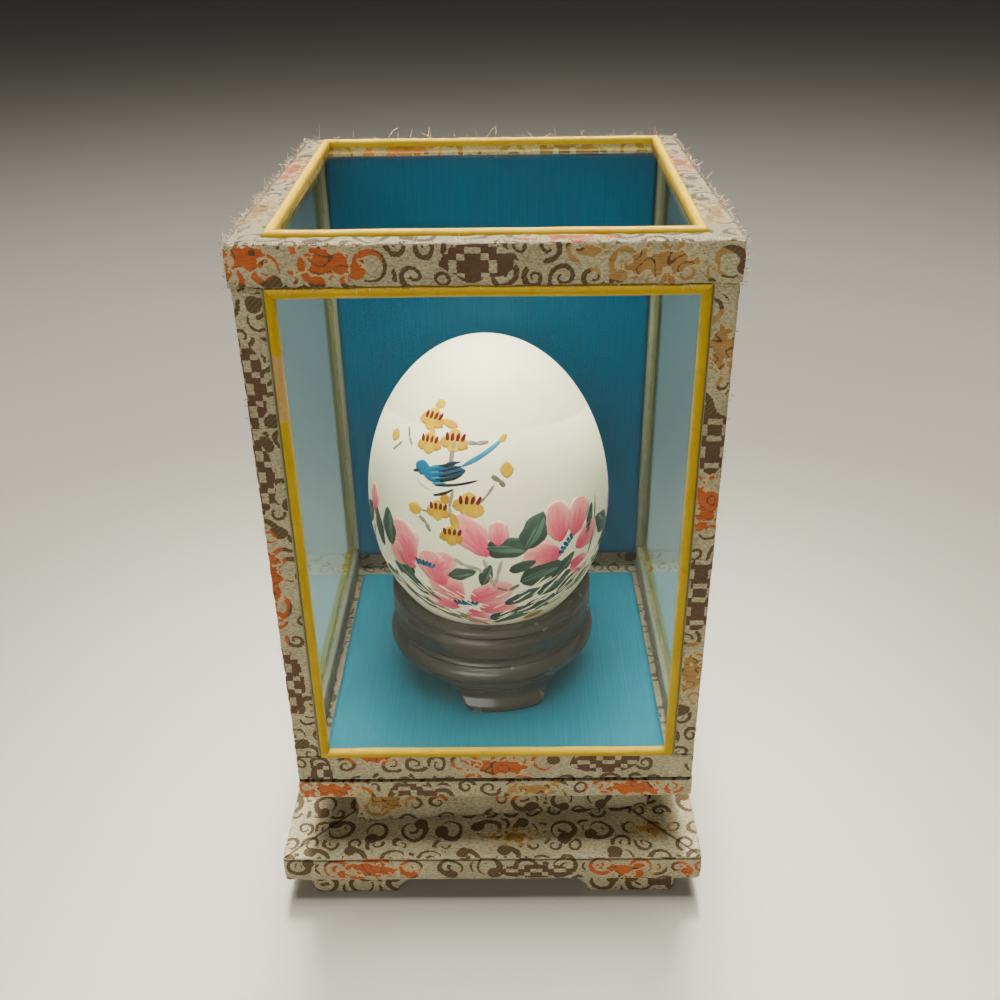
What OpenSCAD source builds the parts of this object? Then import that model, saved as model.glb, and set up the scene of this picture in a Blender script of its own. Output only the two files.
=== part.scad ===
// A painted egg on a turned stand, in a glass display case covered with brocade.
// The glass cover lifts off its floor board, and the egg lifts out of the stand.
// Z is up, X runs along the front of the case, and the front faces -Y.

/* [Cover] */
// Width of the glass cover across its posts
case_w = 70; // [60:1:90]
// Depth of the glass cover from front to back
case_d = 73.2; // [60:0.2:95]
// Height of the glass cover, from its seam to the top of the lid
cover_h = 96.8; // [90:0.2:130]
// Height of the band round the lid
lid_band_h = 6.2; // [4:0.1:8]
// How far the lid band stands out beyond the posts
lid_over = 0.3; // [0:0.05:0.6]
// Width of the lid's front and back faces beside the window
lid_face = 3.4; // [3:0.1:6]
// Width of the lid's side faces at the front
lid_side_front = 4.3; // [3:0.1:6]
// Width of the lid's side faces at the back
lid_side_back = 2.8; // [2.7:0.1:6]
// Height of the bottom rails
rail_h = 5.6; // [4:0.1:9]
// Visible width of the front left post, seen from the front
post_left = 4.5; // [3:0.05:6]
// Visible width of the front right post, seen from the front
post_right = 3.75; // [3:0.05:6]
// Visible width of the posts on the other three sides
post_face = 3.25; // [3:0.05:6]
// Thickness of the brocade-covered card strip in front of a pane's edge
strip_t = 0.6; // [0.4:0.1:1]
// Full depth of a post, rail or lid rail behind its outer face
core_t = 2.6; // [2.4:0.1:2.7]
// How far a pane reaches behind its strips
lap = 0.6; // [0.3:0.1:0.9]
// Thickness of the glass
glass_t = 1.2; // [1:0.1:1.6]
// Width of the yellow bead round a window
bead_w = 1.45; // [1:0.05:2]
// Thickness of the silk-covered lining card on the back
lining_t = 0.8; // [0.4:0.1:1.2]
// Gap that separates the cover from the floor board
seam = 0.15; // [0.1:0.05:0.3]

/* [Base] */
// Height of a bracket foot
foot_h = 5.3; // [3:0.1:8]
// Length of a bracket foot's leg, at its top
foot_len = 19.5; // [12:0.5:26]
// Thickness of a bracket foot
foot_t = 4.5; // [3:0.1:6]
// Setback of the feet from the base board's ends
foot_inset_x = 4.4; // [1:0.1:8]
// Setback of the feet from the base board's front and back
foot_inset_y = 1.8; // [1:0.1:8]
// Overhang of the base board beyond the cover
base_over = 3.5; // [2:0.1:8]
// Thickness of the base board
base_t = 5.5; // [4:0.1:8]
// Width of the neck block
neck_w = 56; // [40:1:62]
// Depth of the neck block
neck_d = 59; // [40:1:64]
// Height of the neck block
neck_h = 12.1; // [8:0.1:16]
// Turn of the neck block, which is glued on a little askew
neck_yaw = 3.4; // [0:0.1:4]
// Thickness of the floor board
board_t = 3.7; // [2.5:0.1:6]
// Overhang of the floor board beyond the cover
board_over = 0.3; // [0:0.1:1.5]
// Thickness of the silk-covered floor pad
pad_t = 1.2; // [0.8:0.1:2]
// How far the case sits to the right of the middle of its base
case_x = 0.8; // [0:0.1:1.5]

/* [Stand] */
// Height of the stand
stand_h = 19; // [17:0.5:20]
// Largest radius of the stand's lower ring
ring_r = 20.3; // [19.5:0.1:22]
// Radius of the well through the cup
well_r = 12; // [9:0.5:13]
// Direction of the front foot, turned from straight ahead
foot_turn = 8.5; // [0:0.5:30]
// Half width of a stand foot where it meets the floor
toe_half = 6.2; // [5:0.1:8]

/* [Egg] */
// Largest radius of the egg
egg_r = 22.6; // [21:0.1:23]
// Height of the narrow end above the widest place
egg_up = 31; // [27:0.5:33]
// Height of the blunt end below the widest place
egg_down = 27.5; // [25:0.5:28]
// Height of the egg's widest place above the floor pad
egg_mid = 37.5; // [37:0.1:40]
// Thickness of the shell
shell_t = 0.4; // [0.3:0.05:0.6]
// Radius of the blow hole in the blunt end
blow_hole_r = 1.5; // [1:0.1:2]
// How far the egg leans to the left in its cup
egg_lean = 1.4; // [0:0.1:1.5]

/* [Hidden] */

$fn = 64;
brocade = "#a79c7e";
silk = "#1583a0";
lacquer = "#241a17";
yellow = "#dcae2c";
clear = [0.8, 0.9, 0.88, 0.3];

// Heights of the layers, from the floor up
base_z = foot_h;
neck_z = base_z + base_t;
board_z = neck_z + neck_h;
pad_z = board_z + board_t;
stand_z = pad_z + pad_t;
cover_z = pad_z + seam;
band_z = cover_h - lid_band_h;

// The pad, the stand and the egg inside the case
pad_w = case_w - 7.4;
pad_d = case_d - 13.2;
stand_x = case_x - 0.8;
stand_y = -0.4;
foot_angles = [-90 + foot_turn, 150 + foot_turn, 30 + foot_turn];
ring_base_z = 6;
seat_gap = 0.15;
egg_step = 6;

// Sides of the cover, counted from the front and on to the right, the back and the left
FRONT = 0;
RIGHT = 1;
BACK = 2;
LEFT = 3;
function side_len(side) = side % 2 == 0 ? case_w : case_d;

// Visible width of the posts at the start and at the end of a side
function start_face(side) = side == FRONT ? post_left : post_face;
function end_face(side) = side == FRONT ? post_right : post_face;

// Corners of the lid's window, in the same order. It is a little wider at the back.
lid_window = [
    [-case_w / 2 + lid_side_front, -case_d / 2 + lid_face],
    [case_w / 2 - lid_side_front, -case_d / 2 + lid_face],
    [case_w / 2 - lid_side_back, case_d / 2 - lid_face],
    [-case_w / 2 + lid_side_back, case_d / 2 - lid_face]];
lid_corners = [
    [-case_w / 2 - lid_over, -case_d / 2 - lid_over],
    [case_w / 2 + lid_over, -case_d / 2 - lid_over],
    [case_w / 2 + lid_over, case_d / 2 + lid_over],
    [-case_w / 2 - lid_over, case_d / 2 + lid_over]];

// Places its child in the cover's frame
module in_cover() {
    translate([case_x, 0, cover_z]) children();
}

// Turns its child to one side of the cover: local X runs along the side, and local Y points inward
module on_side(side) {
    in_cover()
        rotate(90 * side)
            translate([-side_len(side) / 2, -side_len(side + 1) / 2, 0])
                children();
}

// Cuts its child off at 45 degrees at both ends of a side
module mitred(length) {
    reach = 10;
    intersection() {
        children();
        translate([0, 0, -reach])
            linear_extrude(cover_h + 2 * reach)
                polygon([[-1, -1], [length + 1, -1], [length - reach, reach], [reach, reach]]);
    }
}

// Runs an outline, drawn as [inward, up], along one side
module bar(length, outline) {
    translate([-1, 0, 0])
        rotate([90, 0, 90])
            linear_extrude(length + 2)
                polygon(outline);
}

module bottom_rail(side) {
    outline = [[0, 0], [core_t, 0], [core_t, rail_h - lap], [strip_t, rail_h - lap],
        [strip_t, rail_h], [0, rail_h]];
    color(brocade)
        on_side(side)
            mitred(side_len(side))
                bar(side_len(side), outline);
}

// A post stands at the start of its side: an L of covered card in front, and a square core behind
module corner_post(side) {
    along = start_face(side);
    round_corner = end_face((side + 3) % 4);
    color(brocade)
        on_side(side) {
            translate([0, 0, rail_h])
                linear_extrude(band_z - rail_h)
                    polygon([[0, 0], [along, 0], [along, strip_t], [strip_t, strip_t],
                        [strip_t, round_corner], [0, round_corner]]);
            translate([strip_t, strip_t, rail_h - lap])
                cube([core_t - strip_t, core_t - strip_t, band_z - rail_h + 2 * lap]);
        }
}

// A lid rail is a bar with its band outside, and a flat face on top that reaches the window
module lid_rail(side) {
    outline = [[-lid_over, band_z], [strip_t, band_z], [strip_t, band_z + lap], [core_t, band_z + lap],
        [core_t, cover_h - strip_t], [-lid_over, cover_h - strip_t]];
    next = (side + 1) % 4;
    color(brocade) {
        on_side(side)
            mitred(side_len(side))
                bar(side_len(side), outline);
        in_cover()
            translate([0, 0, cover_h - strip_t])
                linear_extrude(strip_t)
                    polygon([lid_corners[side], lid_corners[next], lid_window[next], lid_window[side]]);
    }
}

module pane(side) {
    color(clear)
        on_side(side)
            translate([core_t, strip_t, rail_h - lap])
                cube([side_len(side) - 2 * core_t, glass_t, band_z - rail_h + 2 * lap]);
}

module pane_top() {
    color(clear)
        in_cover()
            translate([-case_w / 2 + core_t, -case_d / 2 + core_t, cover_h - strip_t - glass_t])
                cube([case_w - 2 * core_t, case_d - 2 * core_t, glass_t]);
}

// One half-round strip from corner p to corner q, on the left of that line, with 45 degree ends
module bead_strip(p, q) {
    mitre_gap = 0.05;
    length = norm(q - p);
    translate(p)
        rotate(atan2(q[1] - p[1], q[0] - p[0]))
            intersection() {
                rotate([90, 0, 90])
                    linear_extrude(length)
                        translate([bead_w / 2, strip_t]) {
                            circle(d = bead_w);
                            translate([-bead_w / 2, -strip_t]) square([bead_w, strip_t]);
                        }
                linear_extrude(3 * bead_w)
                    polygon([[mitre_gap, 0], [length - mitre_gap, 0], [length - bead_w - mitre_gap, bead_w],
                        [bead_w + mitre_gap, bead_w]]);
            }
}

module bead_ring(corners) {
    for (i = [0:3])
        bead_strip(corners[i], corners[(i + 1) % 4]);
}

module bead(side) {
    left = start_face(side);
    right = side_len(side) - end_face(side);
    corners = [[left, rail_h], [right, rail_h], [right, band_z], [left, band_z]];
    color(yellow)
        on_side(side)
            translate([0, strip_t, 0])
                rotate([90, 0, 0])
                    bead_ring(corners);
}

module bead_top() {
    color(yellow)
        in_cover()
            translate([0, 0, cover_h - strip_t])
                bead_ring(lid_window);
}

module back_board() {
    color("#8d8468")
        on_side(BACK)
            translate([core_t, strip_t, rail_h - lap])
                cube([case_w - 2 * core_t, core_t - strip_t, band_z - rail_h + 2 * lap]);
}

// The lining card hangs in front of the board and covers most of both back rails
module back_lining() {
    gap = core_t + 0.2;
    bottom = 3.7;
    top = cover_h - 3.6;
    color(silk)
        on_side(BACK)
            translate([gap, core_t, bottom])
                cube([case_w - 2 * gap, lining_t, top - bottom]);
}

module back_cover() {
    color(brocade)
        on_side(BACK)
            translate([post_face, 0.1, rail_h])
                cube([case_w - 2 * post_face, strip_t - 0.1, band_z - rail_h]);
}

// A flat slab with rounded upright edges
module slab(width, depth, height, corner_r) {
    linear_extrude(height)
        union() {
            square([width - 2 * corner_r, depth], center = true);
            square([width, depth - 2 * corner_r], center = true);
            for (x = [-1, 1], y = [-1, 1])
                translate([x * (width / 2 - corner_r), y * (depth / 2 - corner_r)])
                    circle(corner_r);
        }
}

module silk_pad() {
    color(silk)
        translate([case_x, 0, pad_z]) slab(pad_w, pad_d, pad_t, 0.8);
}

module floor_board() {
    color(brocade)
        translate([case_x, 0, board_z])
            slab(case_w + 2 * board_over, case_d + 2 * board_over, board_t, 0.6);
}

module neck_block() {
    color(brocade)
        translate([case_x - 0.4, 0, neck_z])
            rotate(neck_yaw)
                slab(neck_w, neck_d, neck_h, 1.2);
}

module base_board() {
    color(brocade)
        translate([0, 0, base_z])
            slab(case_w + 2 * base_over, case_d + 2 * base_over, base_t, 0.6);
}

module base_lining() {
    paper_t = 0.2;
    margin = 9;
    color("#cbb98e")
        translate([0, 0, base_z - paper_t])
            slab(case_w - 2 * margin, case_d - 2 * margin, paper_t, 1);
}

// One leg of a bracket foot, along X, with its inner end cut in a shallow ogee
module bracket_leg() {
    shoulder = 0.8;
    heel = 3.4;
    rotate([90, 0, 0])
        mirror([0, 0, 1])
            linear_extrude(foot_t)
                polygon([[0.5, 0], [foot_len - heel, 0], [foot_len - heel + 0.6, foot_h * 0.3],
                    [foot_len - heel + 2.2, foot_h * 0.6], [foot_len, foot_h - shoulder],
                    [foot_len, foot_h], [0, foot_h]]);
}

module bracket_foot(side_x, side_y) {
    x = case_w / 2 + base_over - foot_inset_x;
    y = case_d / 2 + base_over - foot_inset_y;
    color(brocade)
        at_corner(side_x, side_y)
            translate([-x, -y, 0]) {
                bracket_leg();
                mirror([1, -1, 0]) bracket_leg();
            }
}

// Mirrors the front left corner's shape into another corner
module at_corner(side_x, side_y) {
    mirror([side_x > 0 ? 1 : 0, 0, 0])
        mirror([0, side_y > 0 ? 1 : 0, 0])
            children();
}

module in_stand() {
    translate([stand_x, stand_y, stand_z]) children();
}

// Radius of the egg at a height above the floor pad, below its widest place
function egg_radius(z) = egg_r * sqrt(1 - pow((egg_mid - z) / egg_down, 2));

// Height above the floor pad at which the egg's lower half has a radius
function egg_height(r) = egg_mid - egg_down * sqrt(1 - pow(r / egg_r, 2));

// Points on a circular arc
function arc(cx, cy, r, from, to, steps) =
    [for (i = [0:steps]) let (a = from + (to - from) * i / steps) [cx + r * cos(a), cy + r * sin(a)]];

// A turned cup: a rim bead, a plain collar, a waist, and the full lower ring
module stand_cup() {
    seat_floor = egg_height(well_r - seat_gap);
    seat_steps = 5;
    seat = [for (i = [0:seat_steps])
        let (z = seat_floor + (stand_h - seat_floor) * i / seat_steps)
        [egg_radius(z) + seat_gap, z]];
    outside = concat(
        [[ring_r - 1.9, stand_h]],
        arc(ring_r - 1.75, stand_h - 1.05, 1.05, 80, -60, 6),
        [[ring_r - 1.1, stand_h - 2.3], [ring_r - 0.75, stand_h - 2.9], [ring_r - 0.75, 13],
            [ring_r - 1.1, 12.2], [ring_r - 1.5, 11.6], [ring_r - 1.1, 11]],
        arc(ring_r - 2.4, 8.4, 2.4, 60, -75, 9),
        [[ring_r - 2.4, ring_base_z], [well_r, ring_base_z]]);
    color(lacquer)
        in_stand()
            rotate_extrude($fn = 96)
                polygon(concat(seat, outside));
}

// A foot: a slice of a turned cabriole band, narrowing from the ring down to a rounded toe
module stand_foot(angle) {
    band = concat(
        [[13.5, ring_base_z], [13.5, 4.4], [15.6, 2.4], [16.2, 0]],
        [[ring_r - 1.2, 0], [ring_r - 0.8, 0.6], [ring_r - 1, 1.5], [ring_r - 2, 2.8],
            [ring_r - 2.2, 4], [ring_r - 1.8, 5.2], [ring_r - 2.2, ring_base_z]]);
    half = toe_half;
    outline = [[-half - 6, ring_base_z], [-half - 4.4, 5], [-half - 2.9, 3.6], [-half - 1.9, 2.2],
        [-half - 1, 0.9], [-half, 0], [half, 0], [half + 1, 0.9], [half + 1.9, 2.2],
        [half + 2.9, 3.6], [half + 4.4, 5], [half + 6, ring_base_z]];
    color(lacquer)
        in_stand()
            rotate(angle + 90)
                intersection() {
                    rotate_extrude($fn = 96) polygon(band);
                    rotate([90, 0, 0])
                        linear_extrude(ring_r + 5)
                            polygon(outline);
                }
}

// Half of the egg's outline, from the blow hole up to the narrow end
function egg_outline(r, up, down, hole) =
    let (start = -acos(hole / r))
    [for (a = [start, each [for (b = [-84:egg_step:90]) b]])
        [r * cos(a), (a > 0 ? up : down) * sin(a)]];

// Places its child in the egg's frame: the origin is the centre of the widest place
module in_egg() {
    pivot = -6;
    in_stand()
        translate([0, 0, egg_mid + pivot])
            rotate([0, -egg_lean, 0])
                translate([0, 0, -pivot])
                    children();
}

module egg_shell() {
    outer = egg_outline(egg_r, egg_up, egg_down, blow_hole_r);
    inner = egg_outline(egg_r - shell_t, egg_up - shell_t, egg_down - shell_t, blow_hole_r);
    count = len(inner);
    color("#f3ede1")
        in_egg()
            rotate_extrude($fn = 128)
                polygon(concat(outer, [for (i = [1:count]) inner[count - i]]));
}

// A paper disc over the blow hole
module egg_hole_seal() {
    disc_r = 3.2;
    paper_t = 0.15;
    steps = 4;
    function under(r) = -egg_down * sqrt(1 - pow(r / egg_r, 2));
    color("#efe6cf")
        in_egg()
            rotate_extrude($fn = 48)
                polygon(concat(
                    [for (i = [0:steps]) let (r = disc_r * i / steps) [r, under(r) - paper_t]],
                    [for (i = [0:steps]) let (r = disc_r * (steps - i) / steps) [r, under(r)]]));
}

egg_shell();
egg_hole_seal();
stand_cup();
stand_foot(foot_angles[0]);  // stand_foot_front
stand_foot(foot_angles[1]);  // stand_foot_left
stand_foot(foot_angles[2]);  // stand_foot_right
silk_pad();
floor_board();
neck_block();
base_board();
base_lining();
bracket_foot(-1, -1);  // bracket_foot_front_left
bracket_foot(1, -1);  // bracket_foot_front_right
bracket_foot(-1, 1);  // bracket_foot_back_left
bracket_foot(1, 1);  // bracket_foot_back_right
bottom_rail(FRONT);  // bottom_rail_front
bottom_rail(RIGHT);  // bottom_rail_right
bottom_rail(BACK);  // bottom_rail_back
bottom_rail(LEFT);  // bottom_rail_left
corner_post(FRONT);  // corner_post_front_left
corner_post(RIGHT);  // corner_post_front_right
corner_post(BACK);  // corner_post_back_right
corner_post(LEFT);  // corner_post_back_left
lid_rail(FRONT);  // lid_rail_front
lid_rail(RIGHT);  // lid_rail_right
lid_rail(BACK);  // lid_rail_back
lid_rail(LEFT);  // lid_rail_left
pane(FRONT);  // pane_front
pane(RIGHT);  // pane_right
pane(LEFT);  // pane_left
pane_top();
bead(FRONT);  // bead_front
bead(RIGHT);  // bead_right
bead(LEFT);  // bead_left
bead_top();
back_board();
back_lining();
back_cover();
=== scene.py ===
"""A painted egg on a lacquered stand, in a brocade and glass display case.

Lengths are in millimetres in the row frame, and are turned into metres where meshes are made.
"""

import math
import random

import bpy
import numpy as np
from mathutils import Matrix, Vector


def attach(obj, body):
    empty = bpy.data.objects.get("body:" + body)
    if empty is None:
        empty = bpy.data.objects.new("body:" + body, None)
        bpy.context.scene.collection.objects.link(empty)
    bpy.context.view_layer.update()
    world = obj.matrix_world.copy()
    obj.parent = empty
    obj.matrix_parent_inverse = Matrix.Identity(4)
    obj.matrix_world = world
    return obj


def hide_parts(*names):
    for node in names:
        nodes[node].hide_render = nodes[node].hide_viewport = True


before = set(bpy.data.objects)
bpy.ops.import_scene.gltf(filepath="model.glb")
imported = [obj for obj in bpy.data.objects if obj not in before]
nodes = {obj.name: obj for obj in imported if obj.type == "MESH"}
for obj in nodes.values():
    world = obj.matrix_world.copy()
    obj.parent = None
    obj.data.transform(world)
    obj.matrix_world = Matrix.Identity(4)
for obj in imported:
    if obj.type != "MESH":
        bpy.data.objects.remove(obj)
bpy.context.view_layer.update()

MM = 0.001


# ---------- Node trees written as expressions ----------

class Value:
    """A number in a node tree, with arithmetic."""

    def __init__(self, shader, socket):
        self.shader = shader
        self.socket = socket

    def __add__(self, other):
        return self.shader.math("ADD", self, other)

    def __sub__(self, other):
        return self.shader.math("SUBTRACT", self, other)

    def __mul__(self, other):
        return self.shader.math("MULTIPLY", self, other)

    def __truediv__(self, other):
        return self.shader.math("DIVIDE", self, other)

    def __rsub__(self, other):
        return self.shader.math("SUBTRACT", other, self)

    __radd__ = __add__
    __rmul__ = __mul__


class Shader:
    """One material and its node tree."""

    def __init__(self, name):
        self.material = bpy.data.materials.new(name)
        self.material.use_nodes = True
        self.tree = self.material.node_tree
        self.tree.nodes.clear()
        self.output = self.tree.nodes.new("ShaderNodeOutputMaterial")

    def feed(self, socket, value):
        """Links a value to a socket, or sets the socket."""
        if isinstance(value, Value):
            self.tree.links.new(value.socket, socket)
        elif isinstance(value, bpy.types.NodeSocket):
            self.tree.links.new(value, socket)
        else:
            socket.default_value = value

    def node(self, kind, inputs=None, **settings):
        made = self.tree.nodes.new("ShaderNode" + kind)
        for key, value in settings.items():
            setattr(made, key, value)
        for key, value in (inputs or {}).items():
            self.feed(made.inputs[key], value)
        return made

    def math(self, operation, *values):
        made = self.tree.nodes.new("ShaderNodeMath")
        made.operation = operation
        for socket, value in zip(made.inputs, values):
            self.feed(socket, value)
        return Value(self, made.outputs[0])

    def wave(self, value, period):
        """A sine of the value, from -1 to 1."""
        return self.math("SINE", value * (2 * math.pi / period))

    def below(self, value, limit):
        return self.math("LESS_THAN", value, limit)

    def above(self, value, limit):
        return self.math("GREATER_THAN", value, limit)

    def ramp(self, value, start, end):
        """0 where the value is at start, 1 at end, smooth between."""
        made = self.node("MapRange", {"Value": value, "From Min": start, "From Max": end},
                         interpolation_type="SMOOTHSTEP")
        return Value(self, made.outputs["Result"])

    def both(self, a, b):
        return self.math("MULTIPLY", a, b)

    def either(self, a, b):
        return self.math("MAXIMUM", a, b)

    def vector(self, x, y, z=0.0):
        return self.node("CombineXYZ", {"X": x, "Y": y, "Z": z}).outputs[0]

    def split(self, socket):
        made = self.node("SeparateXYZ", {"Vector": socket})
        return [Value(self, made.outputs[i]) for i in range(3)]

    def place(self):
        """The point in the object's own coordinates, in millimetres."""
        source = self.node("TexCoord").outputs["Object"]
        return self.node("VectorMath", {0: source, 1: (1000, 1000, 1000)}, operation="MULTIPLY").outputs[0]

    def noise(self, vector, size, detail=2.0, roughness=0.5):
        """Noise from 0 to 1, with features about size millimetres across."""
        made = self.node("TexNoise", {"Vector": vector, "Scale": 1 / size, "Detail": detail,
                                      "Roughness": roughness})
        return Value(self, made.outputs["Fac"])

    def chance(self, vector):
        """Three random numbers that stay the same wherever the vector does."""
        made = self.node("TexWhiteNoise", {"Vector": vector}, noise_dimensions="3D")
        return self.split(made.outputs["Color"])

    def mix(self, factor, first, second):
        """A colour between first, at factor 0, and second, at factor 1."""
        made = self.tree.nodes.new("ShaderNodeMix")
        made.data_type = "RGBA"
        self.feed(made.inputs[0], factor)
        self.feed(made.inputs[6], first)
        self.feed(made.inputs[7], second)
        return made.outputs[2]

    def shade(self, colour, factor):
        """The colour made darker or lighter by a factor."""
        grey = self.node("CombineColor", {"Red": factor, "Green": factor, "Blue": factor}).outputs[0]
        made = self.tree.nodes.new("ShaderNodeMix")
        made.data_type = "RGBA"
        made.blend_type = "MULTIPLY"
        made.inputs[0].default_value = 1.0
        self.feed(made.inputs[6], colour)
        self.feed(made.inputs[7], grey)
        return made.outputs[2]

    def bump(self, height, depth, strength=1.0):
        """A normal bent by a height from 0 to 1, depth millimetres high."""
        made = self.node("Bump", {"Height": height, "Strength": strength, "Distance": depth * MM})
        return made.outputs["Normal"]

    def surface(self, colour, roughness, normal=None, **constants):
        inputs = {"Base Color": colour, "Roughness": roughness}
        if normal is not None:
            inputs["Normal"] = normal
        inputs.update({key.replace("_", " "): value for key, value in constants.items()})
        made = self.node("BsdfPrincipled", inputs)
        self.feed(self.output.inputs["Surface"], made.outputs[0])
        return made


def srgb(red, green, blue):
    """A colour given as 0 to 255 on a screen, in linear light."""
    def linear(part):
        part /= 255
        return part / 12.92 if part <= 0.04045 else ((part + 0.055) / 1.055) ** 2.4
    return (linear(red), linear(green), linear(blue), 1.0)


# ---------- Meshes ----------

def ripple(points, size, seed=0, waves=7):
    """Smooth noise of about -1 to 1 at each point, with features about size millimetres across."""
    rng = np.random.default_rng(seed)
    total = np.zeros(len(points))
    for _ in range(waves):
        direction = rng.normal(size=3)
        direction /= np.linalg.norm(direction)
        period = size * rng.uniform(1.2, 2.6)
        total += np.sin(points @ direction * (2 * math.pi / period) + rng.uniform(0, 2 * math.pi))
    return total / waves * 1.6


def make_object(name, mesh):
    obj = bpy.data.objects.new(name, mesh)
    bpy.context.collection.objects.link(obj)
    return obj


def make_piece(name, points, faces, crease=None):
    """An object from points in millimetres, smooth but for edges sharper than crease degrees."""
    mesh = bpy.data.meshes.new(name)
    mesh.from_pydata((np.asarray(points, float) * MM).tolist(), [], faces)
    mesh.update()
    smooth(mesh, crease)
    return make_object(name, mesh)


def smooth(mesh, crease=None):
    mesh.polygons.foreach_set("use_smooth", [True] * len(mesh.polygons))
    if crease is not None:
        mesh.set_sharp_from_angle(angle=math.radians(crease))


def colour_points(obj, name, colours):
    """Writes one colour to every point of a mesh."""
    layer = obj.data.attributes.new(name, "FLOAT_COLOR", "POINT")
    layer.data.foreach_set("color", np.asarray(colours, float).ravel())


def install(obj, body, slot, material, *cad_nodes):
    """Gives a new piece its finish and its body, and hides the CAD nodes that it stands for."""
    obj.data.materials.clear()
    obj.data.materials.append(material)
    if cad_nodes:
        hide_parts(*cad_nodes)
    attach(obj, body)
    return obj


def finish_node(name, material):
    """Gives a CAD node that stays in view its material."""
    mesh = nodes[name].data
    mesh.materials.clear()
    mesh.materials.append(material)


def lathe(name, outline, centre, steps=160, crease=40):
    """Turns a closed outline of (radius, height) about a vertical axis."""
    turns = np.arange(steps) * (2 * math.pi / steps)
    outline = np.asarray(outline, float)
    points = np.stack([
        centre[0] + np.outer(np.cos(turns), outline[:, 0]),
        centre[1] + np.outer(np.sin(turns), outline[:, 0]),
        centre[2] + np.outer(np.ones(steps), outline[:, 1])], axis=-1).reshape(-1, 3)
    count = len(outline)
    faces = []
    for i in range(steps):
        here = i * count
        there = (i + 1) % steps * count
        for j in range(count):
            k = (j + 1) % count
            faces.append((here + j, there + j, there + k, here + k))
    return make_piece(name, points, faces, crease)


def arc(centre_x, centre_y, radius, start, end, steps):
    angles = np.radians(np.linspace(start, end, steps + 1))
    return [(centre_x + radius * math.cos(a), centre_y + radius * math.sin(a)) for a in angles]


def soft_copy(node, voxel, rounds=3):
    """A copy of a CAD node as an even mesh with its edges rounded off."""
    obj = make_object(node + "_soft", nodes[node].data.copy())
    remesh = obj.modifiers.new("remesh", "REMESH")
    remesh.mode = "VOXEL"
    remesh.voxel_size = voxel * MM
    relax = obj.modifiers.new("relax", "SMOOTH")
    relax.factor = 0.5
    relax.iterations = rounds
    graph = bpy.context.evaluated_depsgraph_get()
    mesh = bpy.data.meshes.new_from_object(obj.evaluated_get(graph))
    obj.modifiers.clear()
    obj.data = mesh
    smooth(mesh)
    return obj


def read_points(mesh):
    flat = np.empty(len(mesh.vertices) * 3)
    mesh.vertices.foreach_get("co", flat)
    return flat.reshape(-1, 3) / MM


def read_normals(mesh):
    flat = np.empty(len(mesh.vertices) * 3)
    mesh.vertices.foreach_get("normal", flat)
    return flat.reshape(-1, 3)


def write_points(mesh, points):
    mesh.vertices.foreach_set("co", (points * MM).ravel())
    mesh.update()


# ---------- Sizes shared with the CAD ----------

CASE_X = 0.8
CASE_W = 70.0
CASE_D = 73.2
COVER_Z = 26.75
COVER_H = 96.8
RAIL_H = 5.6
BAND_Z = COVER_H - 6.2
POST_LEFT = 4.5
POST_RIGHT = 3.75
POST_FACE = 3.25
STRIP_T = 0.6
BEAD_W = 1.45

STAND_X = 0.0
STAND_Y = -0.4
STAND_Z = 27.8
STAND_H = 19.0
RING_R = 20.3
WELL_R = 12.0

EGG_R = 22.6
EGG_UP = 31.0
EGG_DOWN = 27.5
EGG_MID = 37.5
EGG_LEAN = 1.4
SHELL_T = 0.4
HOLE_R = 1.5
LEAN_PIVOT = -6.0


# ---------- Brocade ----------

def lattice(s, u, v, pitch, salt):
    """The place inside a cell of staggered rows, and three random numbers for that cell."""
    row = s.math("FLOOR", v / pitch)
    slid = u + s.math("FLOORED_MODULO", row, 2.0) * (pitch / 2)
    column = s.math("FLOOR", slid / pitch)
    turn, kind, size = s.chance(s.vector(row, column, salt))
    flip = s.above(size, 0.5) * 2.0 - 1.0
    x = (slid - (column + 0.5) * pitch) * flip
    y = v - (row + 0.5) * pitch
    radius = s.math("SQRT", x * x + y * y)
    angle = s.math("FRACT", s.math("ARCTAN2", y, x) * (0.5 / math.pi) + turn)
    return radius, angle, kind, size


def within(s, value, middle, half):
    """1 where the value is less than half away from the middle."""
    return s.below(s.math("ABSOLUTE", value - middle), half)


# Codes for the alpha of the figure attribute. The darkened codes are painted shade on the cloth.
PAINTED_SHADE = 0.5
PLAIN = 1.0
PLAIN_PAINTED_SHADE = 1.5


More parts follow.
